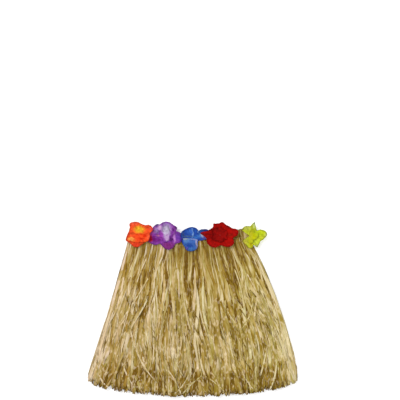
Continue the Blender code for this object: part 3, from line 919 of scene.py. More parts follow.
def stitches_mesh(name, stitches):
    """Short runs of thread, each from one point to another and arched up or down, as one mesh."""
    shape = bmesh.new()
    for start, end, lift in stitches:
        start, end = Vector(start), Vector(end)
        along = (end - start).normalized()
        across = along.cross(Vector((0, 0, 1))).normalized()
        rings = []
        for k in range(STITCH_RINGS):
            t = k / (STITCH_RINGS - 1)
            arch = math.sin(math.pi * t)
            middle = start.lerp(end, t) + Vector((0, 0, STITCH_THICK * (arch - STITCH_SINK) * lift))
            radius = STITCH_THICK / 2 * (STITCH_END_SHARE + (1 - STITCH_END_SHARE) * arch)
            ring = []
            for side in range(STITCH_SIDES):
                turn = 2 * math.pi * side / STITCH_SIDES
                rise = Vector((0, 0, radius * math.sin(turn)))
                ring.append(shape.verts.new(middle + across * radius * math.cos(turn) + rise))
            rings.append(ring)
        join_rings(shape, rings)
        shape.faces.new(rings[0])
        shape.faces.new(rings[-1])
    bmesh.ops.recalc_face_normals(shape, faces=shape.faces)
    return finish_mesh(name, shape)


def make_waistband():
    """The elastic loop, and the machine stitches through the raffia on its front and back."""
    reach = 1 - 2 * ELASTIC_MARGIN / WAIST_WIDTH
    offset = (ELASTIC_HOLLOW + ELASTIC_WALL) / 2
    fold = reach + 2 * offset / WAIST_WIDTH
    across = np.linspace(-reach, reach, ELASTIC_SPANS + 1)
    sides = np.concatenate([across, [fold], across[::-1], [-fold]])
    levels = np.concatenate([-np.ones(len(across)), [0], np.ones(len(across)), [0]]) * offset
    ripple = ELASTIC_RIPPLE * np.sin(sides * np.pi * ELASTIC_RIPPLES)
    height = BAND_MIDDLE_Z + levels + ripple * (levels != 0)
    shape = bmesh.new()
    rows = []
    for rise in np.linspace(0, BAND_HEIGHT, ELASTIC_ROWS + 1):
        plan = on_waist(sides, np.full(len(sides), rise))
        rows.append([shape.verts.new((*point, z)) for point, z in zip(plan, height)])
    join_rings(shape, rows)
    bmesh.ops.recalc_face_normals(shape, faces=shape.faces)
    mesh = finish_mesh("waistband_elastic", shape)
    band = add_piece("waistband_elastic", mesh, elastic_material())
    wall = band.modifiers.new("wall", "SOLIDIFY")
    wall.thickness = ELASTIC_WALL
    wall.offset = 0.0
    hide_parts("waistband")
    count = int(WAIST_WIDTH * STITCH_REACH / STITCH_STEP)
    half = STITCH_STEP * STITCH_SHARE / WAIST_WIDTH
    stitches = []
    for rise in STITCH_RISES:
        for z, lift in ((STITCH_FRONT_Z, 1), (STITCH_BACK_Z, -1)):
            for side in np.linspace(-STITCH_REACH, STITCH_REACH, count):
                start, end = on_waist(np.array([side - half, side + half]), np.full(2, rise))
                stitches.append(((*start, z), (*end, z), lift))
    thread = add_piece(
        "waistband_thread", stitches_mesh("waistband_thread", stitches),
        thread_material("thread", THREAD_COLOUR),
    )


# One row for each flower: where its middle is sewn, in millimetres, its seed, and the screen colours
# that its outer and inner cloths are dyed all over.
Flower = namedtuple("Flower", "name x y seed outer_dye inner_dye")
FLOWERS = (
    Flower("orange", -127.0, 178.5, 21, (248, 84, 40), (240, 78, 32)),
    Flower("purple", -60.0, 177.2, 22, (136, 62, 160), (136, 62, 160)),
    Flower("blue", 1.2, 165.3, 23, (38, 74, 162), (58, 98, 172)),
    Flower("red", 67.1, 177.2, 24, (168, 10, 4), (160, 12, 7)),
    Flower("yellow", 140.0, 175.2, 25, (190, 198, 44), (190, 194, 30)),
)

# The petals of each cloth: the direction that each points in and half the angle that it spans, in
# degrees, and how much higher in millimetres than the cloth under it the petal stands, CUP_REACH away
# from the flower's middle.
Petal = namedtuple("Petal", "angle spread rise")
PETALS = {cloth: [Petal(*row) for row in rows] for cloth, rows in {
    "orange_outer": ((116, 50, 10), (30, 44, 13), (-24, 50, 12), (-104, 50, 8), (-152, 44, 9)),
    "orange_inner": ((-18, 44, 6), (-90, 44, 6), (-160, 42, 5)),
    "purple_outer": ((94, 44, 12), (152, 40, 4), (-168, 46, 3), (-84, 44, 9), (-14, 48, 4), (46, 30, 12)),
    "purple_inner": ((100, 40, 6), (28, 36, 6), (-40, 36, 7), (-108, 36, 7), (172, 38, 8)),
    "blue_outer": ((80, 48, 8), (150, 48, 9), (30, 30, 3), (12, 24, 3), (-98, 56, 8), (-152, 40, 9)),
    "blue_inner": ((-98, 58, 8), (-150, 42, 7), (176, 24, 6), (6, 26, 8)),
    "red_outer": ((98, 52, 12), (173, 36, 13), (-138, 48, 9), (-42, 50, 10), (12, 32, 12)),
    "red_inner": ((54, 36, 7), (126, 36, 7), (-162, 36, 8), (-90, 36, 9), (-18, 36, 8)),
    "yellow_outer": ((75, 20, 12), (126, 54, 6), (180, 44, 4), (-100, 36, 6), (-60, 34, 10), (0, 44, 10)),
    "yellow_inner": ((75, 36, 7), (150, 36, 7), (-135, 36, 7), (-75, 34, 7), (0, 38, 7)),
}.items()}
CUP_REACH = 0.034
CUP_POWER = 1.6
RISE_SHARPNESS = 0.15
CLOTH_THICK = 0.00035
CLOTH_GAP = 0.0003
LAYER_LIFTS = {"outer": 0.0, "inner": 0.0013}
LOWEST_CLOTH = -0.0001
PETAL_SPANS = 216
PETAL_RINGS = 18

# The relief of the cloths: ruffles at the rim, a crease along each petal, an uneven edge, and small
# folds.
RUFFLE = 0.0011
RUFFLE_WAVES = 16
CREASE_DEPTH = 0.0007
CREASE_HALF_ANGLE = 5.5
CREASE_END = 0.9
EDGE_NOISE = 0.020
EDGE_WAVES = 54
WAVE_FADE = 0.4
CRUMPLE = 0.00055
CRUMPLE_WAVES = 14
CRUMPLE_LENGTHS = (0.006, 0.020)
CRUMPLE_EASE = (0.1, 0.6)

# The stitches through each flower's middle.
FLOWER_STITCHES = 3
FLOWER_STITCH = 0.0042
FLOWER_STITCH_RISE = 0.0021
FLOWER_STITCH_ANGLE = 0.4

# Each wash on the cloths, or on both of a flower's cloths, is dye or painted light: the dark ones in
# creases, under overlapping edges and against the next flower are painted shade, and some pale
# streaks are painted highlights. Each gives where it is from the flower's middle and its half width
# and half height, in millimetres, its screen colour, and how much of what is under it it covers.
# WASH_EDGE is where it has faded out and where it is full, in half sizes.
Wash = namedtuple("Wash", "x y half_width half_height colour cover")
DYE_AND_PAINTED_LIGHT_WASHES = {cloth: [Wash(*row) for row in rows] for cloth, rows in {
    "orange_outer": (
        (1, 12, 12.8, 9.5, (240, 150, 40), 0.9), (0.1, 12, 9.5, 6.6, (238, 182, 40), 1),
        (-5.6, 16.7, 1.9, 4.7, (215, 150, 15), 0.6), (8.6, 8.2, 3.8, 1.7, (215, 160, 20), 0.6),
        (-12.2, 27.1, 10.4, 3.8, (254, 98, 62), 0.9), (24.7, 18.6, 7.6, 4.7, (226, 76, 34), 0.9),
        (30.8, 12.5, 2.8, 3.8, (238, 80, 95), 0.8), (29, 20.5, 2.8, 1.9, (200, 60, 30), 0.6),
        (9.5, 21, 3.8, 1.4, (205, 90, 30), 0.6), (-5.6, -25, 11.4, 4.3, (226, 62, 34), 0.9),
        (3.9, -23.1, 2.8, 2.8, (190, 60, 15), 0.8), (0.1, -19.1, 14.2, 0.9, (196, 66, 20), 0.8),
    ),
    "orange_inner": (
        (-17.9, 1.6, 8.5, 5.7, (252, 95, 45), 0.9), (-18.4, -10.7, 7.1, 4.7, (250, 165, 78), 1),
        (-12.2, -13.6, 4.7, 2.8, (225, 125, 40), 0.6), (3.9, -0.1, 15.2, 1.3, (214, 52, 12), 0.9),
        (15.2, -2.7, 4.3, 3.3, (220, 44, 8), 0.9), (5.8, -9.8, 5.7, 3.3, (224, 46, 10), 0.9),
        (22.3, -6, 3.8, 5.7, (246, 100, 60), 0.8), (16.2, -16.4, 5.7, 1.9, (212, 96, 30), 0.7),
    ),
    "purple": (
        (-2.5, 19.9, 13.3, 11.4, (154, 88, 190), 0.9), (1.3, 28.4, 12.3, 3.3, (150, 95, 185), 0.7),
        (9.8, 17.1, 5.7, 8.5, (172, 110, 190), 0.8), (-2.5, 10.4, 9.5, 15.2, (196, 184, 210), 1),
        (0.3, -6.6, 4.7, 8.5, (196, 160, 206), 0.95), (14.5, 12.3, 2.7, 5.7, (112, 38, 135), 0.9),
        (22.1, 18.5, 2.8, 2.8, (95, 60, 110), 0.7), (-16.7, 18, 4.7, 6.6, (222, 176, 220), 0.95),
        (-26.2, 11.4, 6.6, 7.6, (158, 130, 180), 0.8), (-24.8, 24.2, 4.7, 2.4, (105, 95, 150), 0.8),
        (-35.7, 9.5, 5.7, 7.6, (150, 60, 125), 0.7), (-12.9, -0.9, 5.2, 9, (162, 62, 176), 0.9),
        (-20.5, -0.9, 4.3, 2.8, (192, 112, 150), 0.8), (-25.3, -12.3, 10.4, 5.7, (112, 30, 122), 0.9),
        (-31.9, -6.6, 5.7, 5.7, (112, 14, 105), 0.8), (-39, -8.5, 4.3, 9.5, (156, 6, 0), 0.95),
        (9.8, -7.6, 3.6, 7.4, (88, 34, 112), 1), (17.8, -6.6, 2.7, 10.4, (190, 130, 202), 0.95),
        (26.8, -2.8, 6.6, 10.4, (106, 56, 156), 0.9), (33.9, -8.5, 3, 7.6, (66, 44, 160), 0.9),
        (3.2, -25.5, 14.2, 8.5, (128, 44, 116), 0.95), (1.3, -16.5, 7.1, 1.9, (116, 40, 156), 0.8),
    ),
    "blue_outer": (
        (-5.4, 20.4, 6.6, 8.5, (60, 108, 198), 0.8), (0.3, 17.6, 0.9, 14.2, (122, 162, 216), 0.9),
        (6, 21.4, 5.2, 6.6, (40, 84, 176), 0.9), (7.9, 7.2, 6.6, 3.8, (62, 122, 200), 0.8),
        (-22.4, 12.9, 3.8, 5.7, (50, 66, 104), 0.8), (-10.1, 8.1, 12.3, 1.7, (72, 98, 132), 0.8),
        (22.1, 23.8, 6.6, 2.8, (48, 84, 150), 0.8), (31.6, 20.4, 5.7, 3.8, (60, 52, 132), 0.8),
        (18.3, 11, 3.8, 5.7, (78, 128, 190), 0.9), (24.2, 11, 3.8, 4.3, (182, 184, 206), 0.95),
        (31.6, 4.3, 5.7, 2.8, (120, 100, 170), 0.8), (14.5, 21.4, 2.1, 3.8, (130, 165, 225), 0.6),
    ),
    "blue_inner": (
        (-13.9, -1.8, 7.6, 4.3, (90, 136, 196), 0.95), (-4.4, -5.1, 7.6, 5.7, (72, 110, 184), 0.7),
        (-7.3, -13.2, 7.6, 5.7, (32, 68, 150), 0.95), (-2.5, -22.2, 8.5, 2.8, (60, 108, 168), 0.8),
        (-14.4, -20.3, 4.7, 4.7, (82, 72, 160), 0.8), (-23.8, -4.2, 2.4, 5.7, (28, 60, 180), 0.8),
        (-17.7, 3.4, 7.1, 1.7, (160, 178, 194), 1), (-6.3, 3, 7.6, 1.2, (120, 150, 200), 0.8),
        (4.1, 1.1, 8, 2.3, (132, 148, 204), 0.95), (10, -8, 2.7, 10.4, (160, 152, 178), 0.95),
    ),
    "red": (
        (-2.1, 1, 18, 16.1, (140, 10, 6), 0.8), (-19.2, -0.9, 10.4, 11.4, (132, 4, 2), 0.8),
        (-32.4, 1.9, 6.6, 3.2, (122, 4, 2), 0.95), (-41.9, 3.8, 3.8, 2.8, (96, 18, 34), 0.7),
        (-23, 12.3, 4.7, 2.4, (92, 2, 4), 0.8), (33.8, 6.7, 6.6, 5.7, (162, 10, 8), 0.9),
        (21.5, 20.9, 7.6, 1.9, (112, 20, 24), 0.7), (24.4, 0, 5.7, 3.8, (134, 26, 8), 0.7),
        (20.6, -19.9, 9.5, 5.7, (162, 12, 6), 0.8), (-16.3, -20.8, 9.5, 5.7, (158, 12, 8), 0.8),
        (-15.4, -8.5, 4.7, 2.5, (112, 0, 0), 0.7), (-7.3, -13.7, 5.2, 1.7, (110, 0, 0), 0.8),
        (1.6, -14, 4.7, 1.7, (110, 0, 0), 0.7), (9.2, -8.5, 2.8, 4.7, (112, 0, 0), 0.7),
        (13, 9.5, 2.4, 1.3, (118, 0, 0), 0.6), (11.1, 15.9, 1.9, 1.1, (200, 44, 32), 0.6),
    ),
    "yellow": (
        (8.8, 0.4, 7.1, 7.1, (190, 188, 4), 0.9), (1.7, 1, 3.2, 11.5, (198, 190, 40), 0.8),
        (23.5, 6.2, 12.2, 7.7, (190, 206, 32), 0.9), (24.8, -2.8, 9.6, 3.8, (194, 200, 48), 0.7),
        (37.3, 4.3, 3.2, 7.1, (190, 196, 120), 0.7), (22.9, 14.8, 6.4, 1.3, (160, 172, 80), 0.7),
        (7.5, 26.7, 3.8, 6.4, (206, 218, 134), 0.9), (8.1, 31.2, 1.9, 3.2, (124, 146, 98), 0.8),
        (-9.2, 18.4, 9.6, 4.5, (200, 204, 92), 0.9), (-18.2, 16.4, 3.8, 3.2, (156, 156, 60), 0.8),
        (14.5, -15, 7.1, 5.1, (200, 214, 60), 0.9), (14.5, -24, 3.8, 3.8, (176, 186, 108), 0.8),
        (1.1, -21.4, 4.5, 3.8, (190, 176, 4), 0.9), (-1.5, -26.9, 3.8, 2.3, (198, 190, 40), 0.8),
        (-13.1, -15, 7.1, 7.1, (190, 182, 62), 0.9),
    ),
}.items()}
WASH_EDGE = (1.55, 0.40)
DYE_STRENGTH = 0.70

# How the cloths' colour changes: wandering edges of the washes, veins that fan out, painted light
# and shade of small folds, and a darker rim. Each row of shades moves a range of the noise to a range
# of brightness.
WANDER_SCALE = 95.0
WANDER = 0.008
VEIN_SCALE = 9.0
VEIN_SHADES = (0.25, 0.75, 0.74, 1.22)
FOLD_SCALE = 150.0
FOLD_SHADES = (0.3, 0.7, 0.80, 1.20)
RIM_STARTS = 0.84
RIM_SHADES = {"outer": 0.62, "inner": 0.85}
WEAVE_SCALE = 420.0
VEIN_RELIEF = 3.0

# The outlines of the cloths: corners in turn, in millimetres from the flower's middle.
OUTLINES = {
    "orange_outer": (
        (-22.7, 25.2), (-19.3, 28.8), (-12.2, 30.2), (-4.7, 30.9), (0.1, 29.5), (4.8, 26.2), (9.5, 23.8),
        (16.2, 22.4), (23.7, 23.8), (29, 21.5), (31.8, 18.1), (34.2, 14.8), (33.7, 10.1), (30.4, 7.2),
        (27.7, 3.5), (26.8, -3.2), (25.8, -8.9), (23.9, -14.1), (20, -16.9), (13.3, -19.7), (6.7, -24),
        (1, -28.6), (-5.6, -30.4), (-12.2, -28.9), (-17, -25.1), (-21.7, -19.5), (-28.3, -16.9),
        (-31.7, -13.6), (-30.4, -7.9), (-28.3, -1.3), (-26.4, 3.5), (-23.1, 8.2), (-21.2, 13.9),
        (-22.2, 20.5),
    ),
    "orange_inner": (
        (24.7, 1.6), (26.8, -3.2), (25.6, -8.9), (21.9, -15), (13.3, -18.5), (3.9, -17.8), (-2.8, -19.5),
        (-9.4, -17.9), (-17, -16.4), (-24.6, -14.5), (-28.3, -9.8), (-26.4, -3.2), (-21.7, 1.1),
        (-14.1, 2.3), (-7.5, 1.6), (0, 1.4), (8.6, 1.6), (17.1, 2.3),
    ),
    "purple_outer": (
        (-17.7, 23.2), (-15.3, 26.5), (-12.5, 28.9), (-9.2, 31.1), (-3.5, 32), (2.2, 32), (7.9, 30.5),
        (12.6, 27), (16.4, 23.7), (21.1, 21.8), (24.9, 18), (23.8, 13.8), (21.6, 11.4), (24.5, 8.5),
        (30.6, 6.8), (33.6, 3.8), (36.3, -1.9), (37.2, -7.6), (35.3, -13.2), (31.6, -18), (24.9, -19.9),
        (20.2, -21.3), (18.3, -25.5), (14.5, -30.5), (9.8, -33.9), (4.1, -35.2), (-1.6, -34.1),
        (-7.3, -30.8), (-12, -25.5), (-15.8, -20.3), (-20.5, -21.8), (-26.2, -23.7), (-31.9, -22.9),
        (-38.5, -20.6), (-43.3, -17.2), (-45.1, -12.3), (-46.1, -4.7), (-43.3, 2.9), (-39.5, 9.5),
        (-35.7, 14.2), (-31.9, 20.4), (-29, 22.3), (-25.3, 25.4), (-21, 27), (-19.1, 25.1),
    ),
    "blue_outer": (
        (-27.6, 16.7), (-25.3, 20.9), (-20.5, 24.4), (-13.9, 27.8), (-7.3, 30.3), (-1.6, 31.4), (5, 30.5),
        (9.8, 27.8), (13.4, 23.8), (15.5, 21.4), (17.8, 24.4), (22.1, 25.9), (29.7, 26.3), (36.3, 25.2),
        (41, 21.4), (41.5, 14.8), (39.1, 7.2), (35.3, 2.5), (30.6, 0.7), (24, -0.6), (18.3, -1.5),
        (13.8, -1.8), (12.8, -6.1), (13.3, -12.7), (12.6, -17.4), (9.8, -22.2), (3.2, -25.8),
        (-4.4, -27.1), (-11.1, -25.8), (-15.8, -22.4), (-18.6, -17.6), (-21.5, -12.7), (-24.3, -8),
        (-26.2, -3.2), (-27.6, 3.4), (-28.6, 10),
    ),
    "blue_inner": (
        (-22.4, 4.2), (-15.8, 4.7), (-8.2, 4.2), (-0.1, 3.4), (6.9, 2.5), (12.6, 1), (12.6, -6.1),
        (12.8, -12.7), (12, -17), (9.2, -21.6), (3, -24.8), (-4.4, -26), (-10.7, -24.8), (-15.2, -21.8),
        (-18, -17.2), (-20.9, -12.5), (-23.5, -8), (-25, -2.3),
    ),
    "red_outer": (
        (-16.3, 22.8), (-17.1, 26.5), (-14.3, 28.6), (-11.1, 27.5), (-5.9, 28), (-1.2, 28.9), (2.1, 31.1),
        (5.4, 31.8), (9.2, 29.9), (12.1, 26.5), (16.8, 23.7), (22.5, 21), (26.3, 17.7), (31, 15.9),
        (36.7, 15.9), (41.4, 13.1), (44, 8.5), (43.1, 2.9), (39.5, -1.9), (33.8, -4.5), (31, -7.1),
        (32.9, -12.3), (33.6, -18), (30.8, -22.9), (25.3, -26.7), (18.7, -28.6), (12.1, -27.8),
        (6.4, -26), (1.2, -24.4), (-3.1, -26.7), (-8.8, -29.3), (-14.5, -30), (-20.1, -28.2),
        (-25.8, -24.8), (-30.1, -19.9), (-32.7, -14.2), (-32, -8.5), (-34.3, -5.5), (-38.6, -2.3),
        (-43.6, 1.6), (-47.2, 4.6), (-46, 7.2), (-40, 8.6), (-34.3, 9.2), (-28.7, 10.6), (-23, 14.7),
        (-18.4, 17.5), (-16.2, 20.1),
    ),
    "red_inner": (
        (17, 4), (15, 10.6), (8, 11.6), (5, 17), (-2, 18.6), (-7, 14), (-14.6, 14), (-18.6, 7), (-15, 0),
        (-18.6, -7), (-14, -13.4), (-7, -12.6), (-1, -17.4), (6, -15), (9, -11.6), (16.6, -9), (15, -2),
    ),
    "yellow_outer": (
        (9.7, 34.9), (11.6, 26.7), (12.7, 20.9), (13.9, 15.8), (15.4, 12.5), (19, 14.6), (23.5, 15.7),
        (29.3, 14.8), (34.4, 12.7), (38.3, 8.2), (39.4, 3.6), (37.8, -0.2), (34.4, -4.2), (29.9, -8.7),
        (25.4, -11.3), (22.9, -13.7), (20.9, -18.8), (18.4, -24.1), (15.2, -28.1), (11.3, -24.6),
        (7.6, -21.4), (5.7, -24), (4.9, -27.3), (0.4, -29.9), (-4.1, -29.1), (-7.3, -25.9),
        (-10.5, -22.1), (-14.3, -18.8), (-17.9, -15), (-18.8, -10.9), (-3.1, -1.5), (-3.8, 1.5),
        (-20.8, 13.6), (-19.8, 17.1), (-18.2, 19.1), (-15, 22.2), (-10.5, 23.6), (-5.4, 23.6),
        (-0.9, 23.1), (1.7, 25.6), (3.6, 28.8), (6.8, 32.1),
    ),
    "yellow_inner": (
        (16, -4), (19, 2), (15, 8), (9, 9), (7, 15), (2, 15), (-1, 8), (-2.4, 2), (-2.6, -3), (-6, -9),
        (-5, -16), (0, -19), (5, -16), (7, -10),
    ),
}

# One cloth's petals are plain lobes instead: their lengths, how blunt their ends are, and how far the
# cloth reaches in the notches between them, in millimetres.
LOBES = {"purple_inner": (22.0, 19.5, 16.5, 18.0, 22.5)}
LOBE_BLUNTNESS = 3.0
LOBE_NOTCH = 13.0


def degrees_away(petal, angle):
    """How far each direction is from the petal's, from -180 to 180 degrees."""
    return (np.degrees(angle) - petal.angle + 180) % 360 - 180


def petal_offset(petal, angle):
    """How far each direction is from the petal's, as a share of half of what the petal spans."""
    return np.abs(degrees_away(petal, angle)) / petal.spread


def petal_reach(cloth, angle):
    """How far the cloth reaches from the flower's middle in each direction."""
    if cloth in OUTLINES:
        corners = np.array(OUTLINES[cloth]) * MM
        turns = np.arctan2(corners[:, 1], corners[:, 0])
        order = np.argsort(turns)
        near = 1 / np.linalg.norm(corners, axis=1)[order]
        return 1 / np.interp(angle, turns[order], near, period=FULL_TURN)
    offsets = [np.minimum(petal_offset(petal, angle), 1) for petal in PETALS[cloth]]
    lobes = [length * (1 - offset**LOBE_BLUNTNESS) for length, offset in zip(LOBES[cloth], offsets)]
    return np.maximum(np.max(lobes, axis=0), LOBE_NOTCH) * MM


def petal_rise(cloth, angle):
    """How high the cloth stands CUP_REACH away in each direction, blended from its petals."""
    weights = [1 / (petal_offset(petal, angle) ** 2 + RISE_SHARPNESS) for petal in PETALS[cloth]]
    rises = [weight * petal.rise * MM for weight, petal in zip(weights, PETALS[cloth])]
    return sum(rises) / sum(weights)


def round_noise(draw, angle, waves):
    """A smooth random value for each direction, the same after a full turn."""
    total = np.zeros_like(angle)
    for wave in range(1, waves + 1):
        total += draw.normal() * np.cos(wave * angle + draw.uniform(0, FULL_TURN)) / wave**WAVE_FADE
    return total / math.sqrt(waves)


def crumple(x, y, draw):
    """Small random folds that run in all directions."""
    total = np.zeros_like(x)
    for _ in range(CRUMPLE_WAVES):
        turn, phase = draw.uniform(0, FULL_TURN, 2)
        wave = FULL_TURN / draw.uniform(*CRUMPLE_LENGTHS)
        total += 1 - 2 * np.abs(np.sin((x * np.cos(turn) + y * np.sin(turn)) * wave / 2 + phase))
    return total / math.sqrt(CRUMPLE_WAVES)


def petal_mesh(name, flower, layer, draw):
    """A cupped and ruffled cloth that carries each point's place on it, and its cut size."""
    cloth = f"{flower.name}_{layer}"
    angle = np.arange(PETAL_SPANS) / PETAL_SPANS * FULL_TURN
    reach = petal_reach(cloth, angle)
    rise = petal_rise(cloth, angle)
    if layer == "inner":
        rise = rise + petal_rise(f"{flower.name}_outer", angle)
    reach = (np.roll(reach, 1) + 2 * reach + np.roll(reach, -1)) / 4
    reach = reach * (1 + EDGE_NOISE * round_noise(draw, angle, EDGE_WAVES))
    ruffle = round_noise(draw, angle, RUFFLE_WAVES)
    turns = [degrees_away(petal, angle) / CREASE_HALF_ANGLE for petal in PETALS[cloth]]
    creases = sum(np.exp(-turn ** 2) for turn in turns)
    ring = (np.arange(1, PETAL_RINGS + 1) / PETAL_RINGS)[:, None]
    radius = ring * reach
    x, y = radius * np.cos(angle), radius * np.sin(angle)
    height = rise * (radius / CUP_REACH) ** CUP_POWER
    height = height + RUFFLE * ruffle * ring**3 * (reach / CUP_REACH)
    height = height + CREASE_DEPTH * creases * np.sin(np.pi * np.minimum(ring * CREASE_END, 1))
    height = height + CRUMPLE * crumple(x, y, draw) * ease(ring, *CRUMPLE_EASE)
    points = np.stack([x, y, np.maximum(height, LOWEST_CLOTH)], -1)
    shape = bmesh.new()
    middle = shape.verts.new((0, 0, 0))
    rows = [[shape.verts.new(point) for point in row] for row in points]
    for k in range(PETAL_SPANS):
        after = (k + 1) % PETAL_SPANS
        shape.faces.new((middle, rows[0][k], rows[0][after]))
        for inner, outer in zip(rows[:-1], rows[1:]):
            shape.faces.new((inner[k], outer[k], outer[after], inner[after]))
    mesh = finish_mesh(name, shape)
    flat = np.concatenate([[[0.0, 0.0, 0.0]], points.reshape(-1, 3)])
    flat[:, 2] = np.concatenate([[0.0], (ring * np.ones_like(radius)).ravel()])
    place = mesh.attributes.new("place", "FLOAT_VECTOR", "POINT")
    place.data.foreach_set("vector", flat.astype(np.float32).ravel())
    sewn_at = Vector((flower.x * MM, flower.y * MM, FRONT_STRIP_TOP_Z + CLOTH_GAP + LAYER_LIFTS[layer]))
    for vertex in mesh.vertices:
        vertex.co += sewn_at
    steps = np.linalg.norm(np.diff(points, axis=0, prepend=0.0), axis=-1)
    return mesh, cut_size(steps.sum(0), angle)


def cut_size(reach, angle):
    """The width and length of a flat cloth that reaches this far in each direction, and its area."""
    width = float(np.ptp(reach * np.cos(angle)))
    length = float(np.ptp(reach * np.sin(angle)))
    area = float(np.sum(reach**2)) * np.pi / len(angle)
    return width, length, area


def dye(colour):
    """The linear colour of a cloth's dye, or of a painted shade or highlight on it, that shows this
    screen colour in the studio's light.
    """
    return (*(channel * DYE_STRENGTH for channel in linear(*colour)), 1.0)


def petal_material(flower, layer):
    """Dyed cloth with washes of dye, painted shade and painted highlights, veins that fan out from its
    middle, painted light and shade of small folds, a darker rim, and a fine weave.
    """
    nodes = Nodes(f"{flower.name}_cloth_{layer}")
    place = nodes.add("Attribute", attribute_name="place").outputs["Vector"]
    flat = nodes.vectors("MULTIPLY", place, (1.0, 1.0, 0.0))
    wander = nodes.noise(flat, WANDER_SCALE, 2.0).outputs["Color"]
    centred = nodes.vectors("SUBTRACT", wander, (0.5, 0.5, 0.5))
    moved = nodes.vectors("MULTIPLY_ADD", centred, (WANDER, WANDER, 0.0), flat)
    ground = nodes.add("RGB").outputs[0]
    ground.default_value = dye(flower.outer_dye if layer == "outer" else flower.inner_dye)
    colour = ground
    # Washes of dye, and of painted shade and painted highlights, one over another.
    for wash in DYE_AND_PAINTED_LIGHT_WASHES.get(f"{flower.name}_{layer}") or DYE_AND_PAINTED_LIGHT_WASHES[flower.name]:
        away = nodes.vectors("SUBTRACT", moved, (wash.x * MM, wash.y * MM, 0.0))
        scale = (1 / (wash.half_width * MM), 1 / (wash.half_height * MM), 0.0)
        away = nodes.add("VectorMath", {0: nodes.vectors("MULTIPLY", away, scale)}, operation="LENGTH")
        mask = nodes.rescale(away.outputs["Value"], *WASH_EDGE, 0.0, wash.cover, "SMOOTHSTEP")
        colour = nodes.mix(mask, colour, dye(wash.colour))
    veins = nodes.noise(nodes.vectors("NORMALIZE", flat), VEIN_SCALE, 3.0).outputs[0]
    # Painted light and shade of small folds, in the colour only.
    folds = nodes.noise(flat, FOLD_SCALE, 3.0, Distortion=0.6).outputs[0]
    rim = nodes.rescale(nodes.split(place)[2], RIM_STARTS, 1.0, 1.0, RIM_SHADES[layer], "SMOOTHSTEP")
    shade = nodes.maths("MULTIPLY", nodes.rescale(veins, *VEIN_SHADES), rim)
    shade = nodes.maths("MULTIPLY", shade, nodes.rescale(folds, *FOLD_SHADES))
    shaded = nodes.add("HueSaturation", {"Value": shade, "Color": colour}).outputs[0]
    nodes.put(shaded, nodes.shader.inputs["Base Color"])
    nodes.shader.inputs["Roughness"].default_value = 0.75
    nodes.shader.inputs["Sheen Weight"].default_value = 0.03
    nodes.shader.inputs["Specular IOR Level"].default_value = 0.03
    threads = nodes.maths("MULTIPLY", *(nodes.wave(flat, axis, WEAVE_SCALE, 0.6) for axis in "XY"))
    relief = nodes.maths("MULTIPLY_ADD", veins, VEIN_RELIEF, threads)
    nodes.bump(relief, strength=0.6, distance=0.00012)
    return nodes.material


def make_flowers():
    """Two layers of cloth for each flower, the smaller nested in the larger, and its stitches."""
    for flower in FLOWERS:
        draw = np.random.default_rng(flower.seed)
        for layer in ("outer", "inner"):
            name = f"{flower.name}_cloth_{layer}"
            mesh, (width, length, area) = petal_mesh(name, flower, layer, draw)
            piece = add_piece(name, mesh, petal_material(flower, layer))
            wall = piece.modifiers.new("wall", "SOLIDIFY")
            wall.thickness = CLOTH_THICK
            wall.offset = 1.0
            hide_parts(f"{flower.name}_petals_{layer}")
        stitches = []
        for turn in range(FLOWER_STITCHES):
            angle = math.pi * turn / FLOWER_STITCHES + FLOWER_STITCH_ANGLE
            reach = Vector((math.cos(angle), math.sin(angle), 0)) * FLOWER_STITCH / 2
            z = FRONT_STRIP_TOP_Z + FLOWER_STITCH_RISE + turn * STITCH_THICK / 2
            middle = Vector((flower.x * MM, flower.y * MM, z))
            stitches.append((middle - reach, middle + reach, 1))
        name = f"{flower.name}_thread"
        thread = stitches_mesh(name, stitches)
        add_piece(name, thread, thread_material(name, flower.outer_dye))


# The studio: a floor with a slight glow, an even sky, and two square lamps with their places, sizes
# and powers.
FLOOR_HALF_WIDTH = 6.0
FLOOR_Z = -0.0002
FLOOR_GREY = 0.98
FLOOR_GLOW = 0.08
SKY_STRENGTH = 0.92
WHITE = (1.0, 1.0, 1.0, 1.0)
Lamp = namedtuple("Lamp", "name place size power")
LAMPS = (
    Lamp("key", (-0.9, 1.1, 2.0), 1.1, 36.0),
    Lamp("fill", (1.5, -0.9, 1.6), 1.4, 12.0),
)


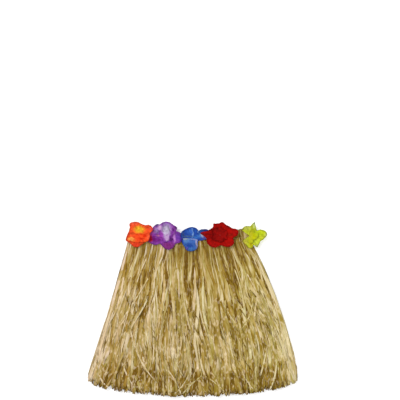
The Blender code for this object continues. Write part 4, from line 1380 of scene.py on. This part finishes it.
def make_stage():
    """A pale floor, soft light from all round, a lamp up to the left and a weaker one to the right."""
    shape = bmesh.new()
    bmesh.ops.create_grid(shape, x_segments=1, y_segments=1, size=FLOOR_HALF_WIDTH)
    mesh = finish_mesh("floor", shape)
    nodes = Nodes("floor")
    nodes.shader.inputs["Base Color"].default_value = (FLOOR_GREY, FLOOR_GREY, FLOOR_GREY, 1.0)
    nodes.shader.inputs["Emission Color"].default_value = WHITE
    nodes.shader.inputs["Emission Strength"].default_value = FLOOR_GLOW
    nodes.shader.inputs["Roughness"].default_value = 0.9
    mesh.materials.append(nodes.material)
    floor = bpy.data.objects.new("floor", mesh)
    floor.location.z = FLOOR_Z
    bpy.context.scene.collection.objects.link(floor)
    world = bpy.data.worlds.new("studio")
    world.use_nodes = True
    sky = world.node_tree.nodes["Background"]
    sky.inputs["Color"].default_value = WHITE
    sky.inputs["Strength"].default_value = SKY_STRENGTH
    bpy.context.scene.world = world
    for lamp in LAMPS:
        light = bpy.data.lights.new(lamp.name, "AREA")
        light.energy = lamp.power
        light.size = lamp.size
        holder = bpy.data.objects.new(lamp.name, light)
        holder.location = lamp.place
        holder.rotation_euler = (-Vector(lamp.place)).to_track_quat("-Z", "Y").to_euler()
        bpy.context.scene.collection.objects.link(holder)


def make_camera():
    """Looks straight down, with the skirt in the lower half of the frame as photographed."""
    lens = bpy.data.cameras.new("camera")
    lens.lens = LENS_MM
    lens.sensor_width = SENSOR_MM
    camera = bpy.data.objects.new("camera", lens)
    middle = FRAME_PIXELS / 2
    camera.location = (
        (middle - ORIGIN_PIXEL[0]) * METRES_A_PIXEL,
        (ORIGIN_PIXEL[1] - middle) * METRES_A_PIXEL,
        PILE_HEIGHT + FRAME_PIXELS * METRES_A_PIXEL * LENS_MM / SENSOR_MM,
    )
    bpy.context.scene.collection.objects.link(camera)
    bpy.context.scene.camera = camera
    bpy.context.scene.view_settings.view_transform = "Standard"


make_camera()
make_stage()
make_ribbons()
make_waistband()
make_flowers()
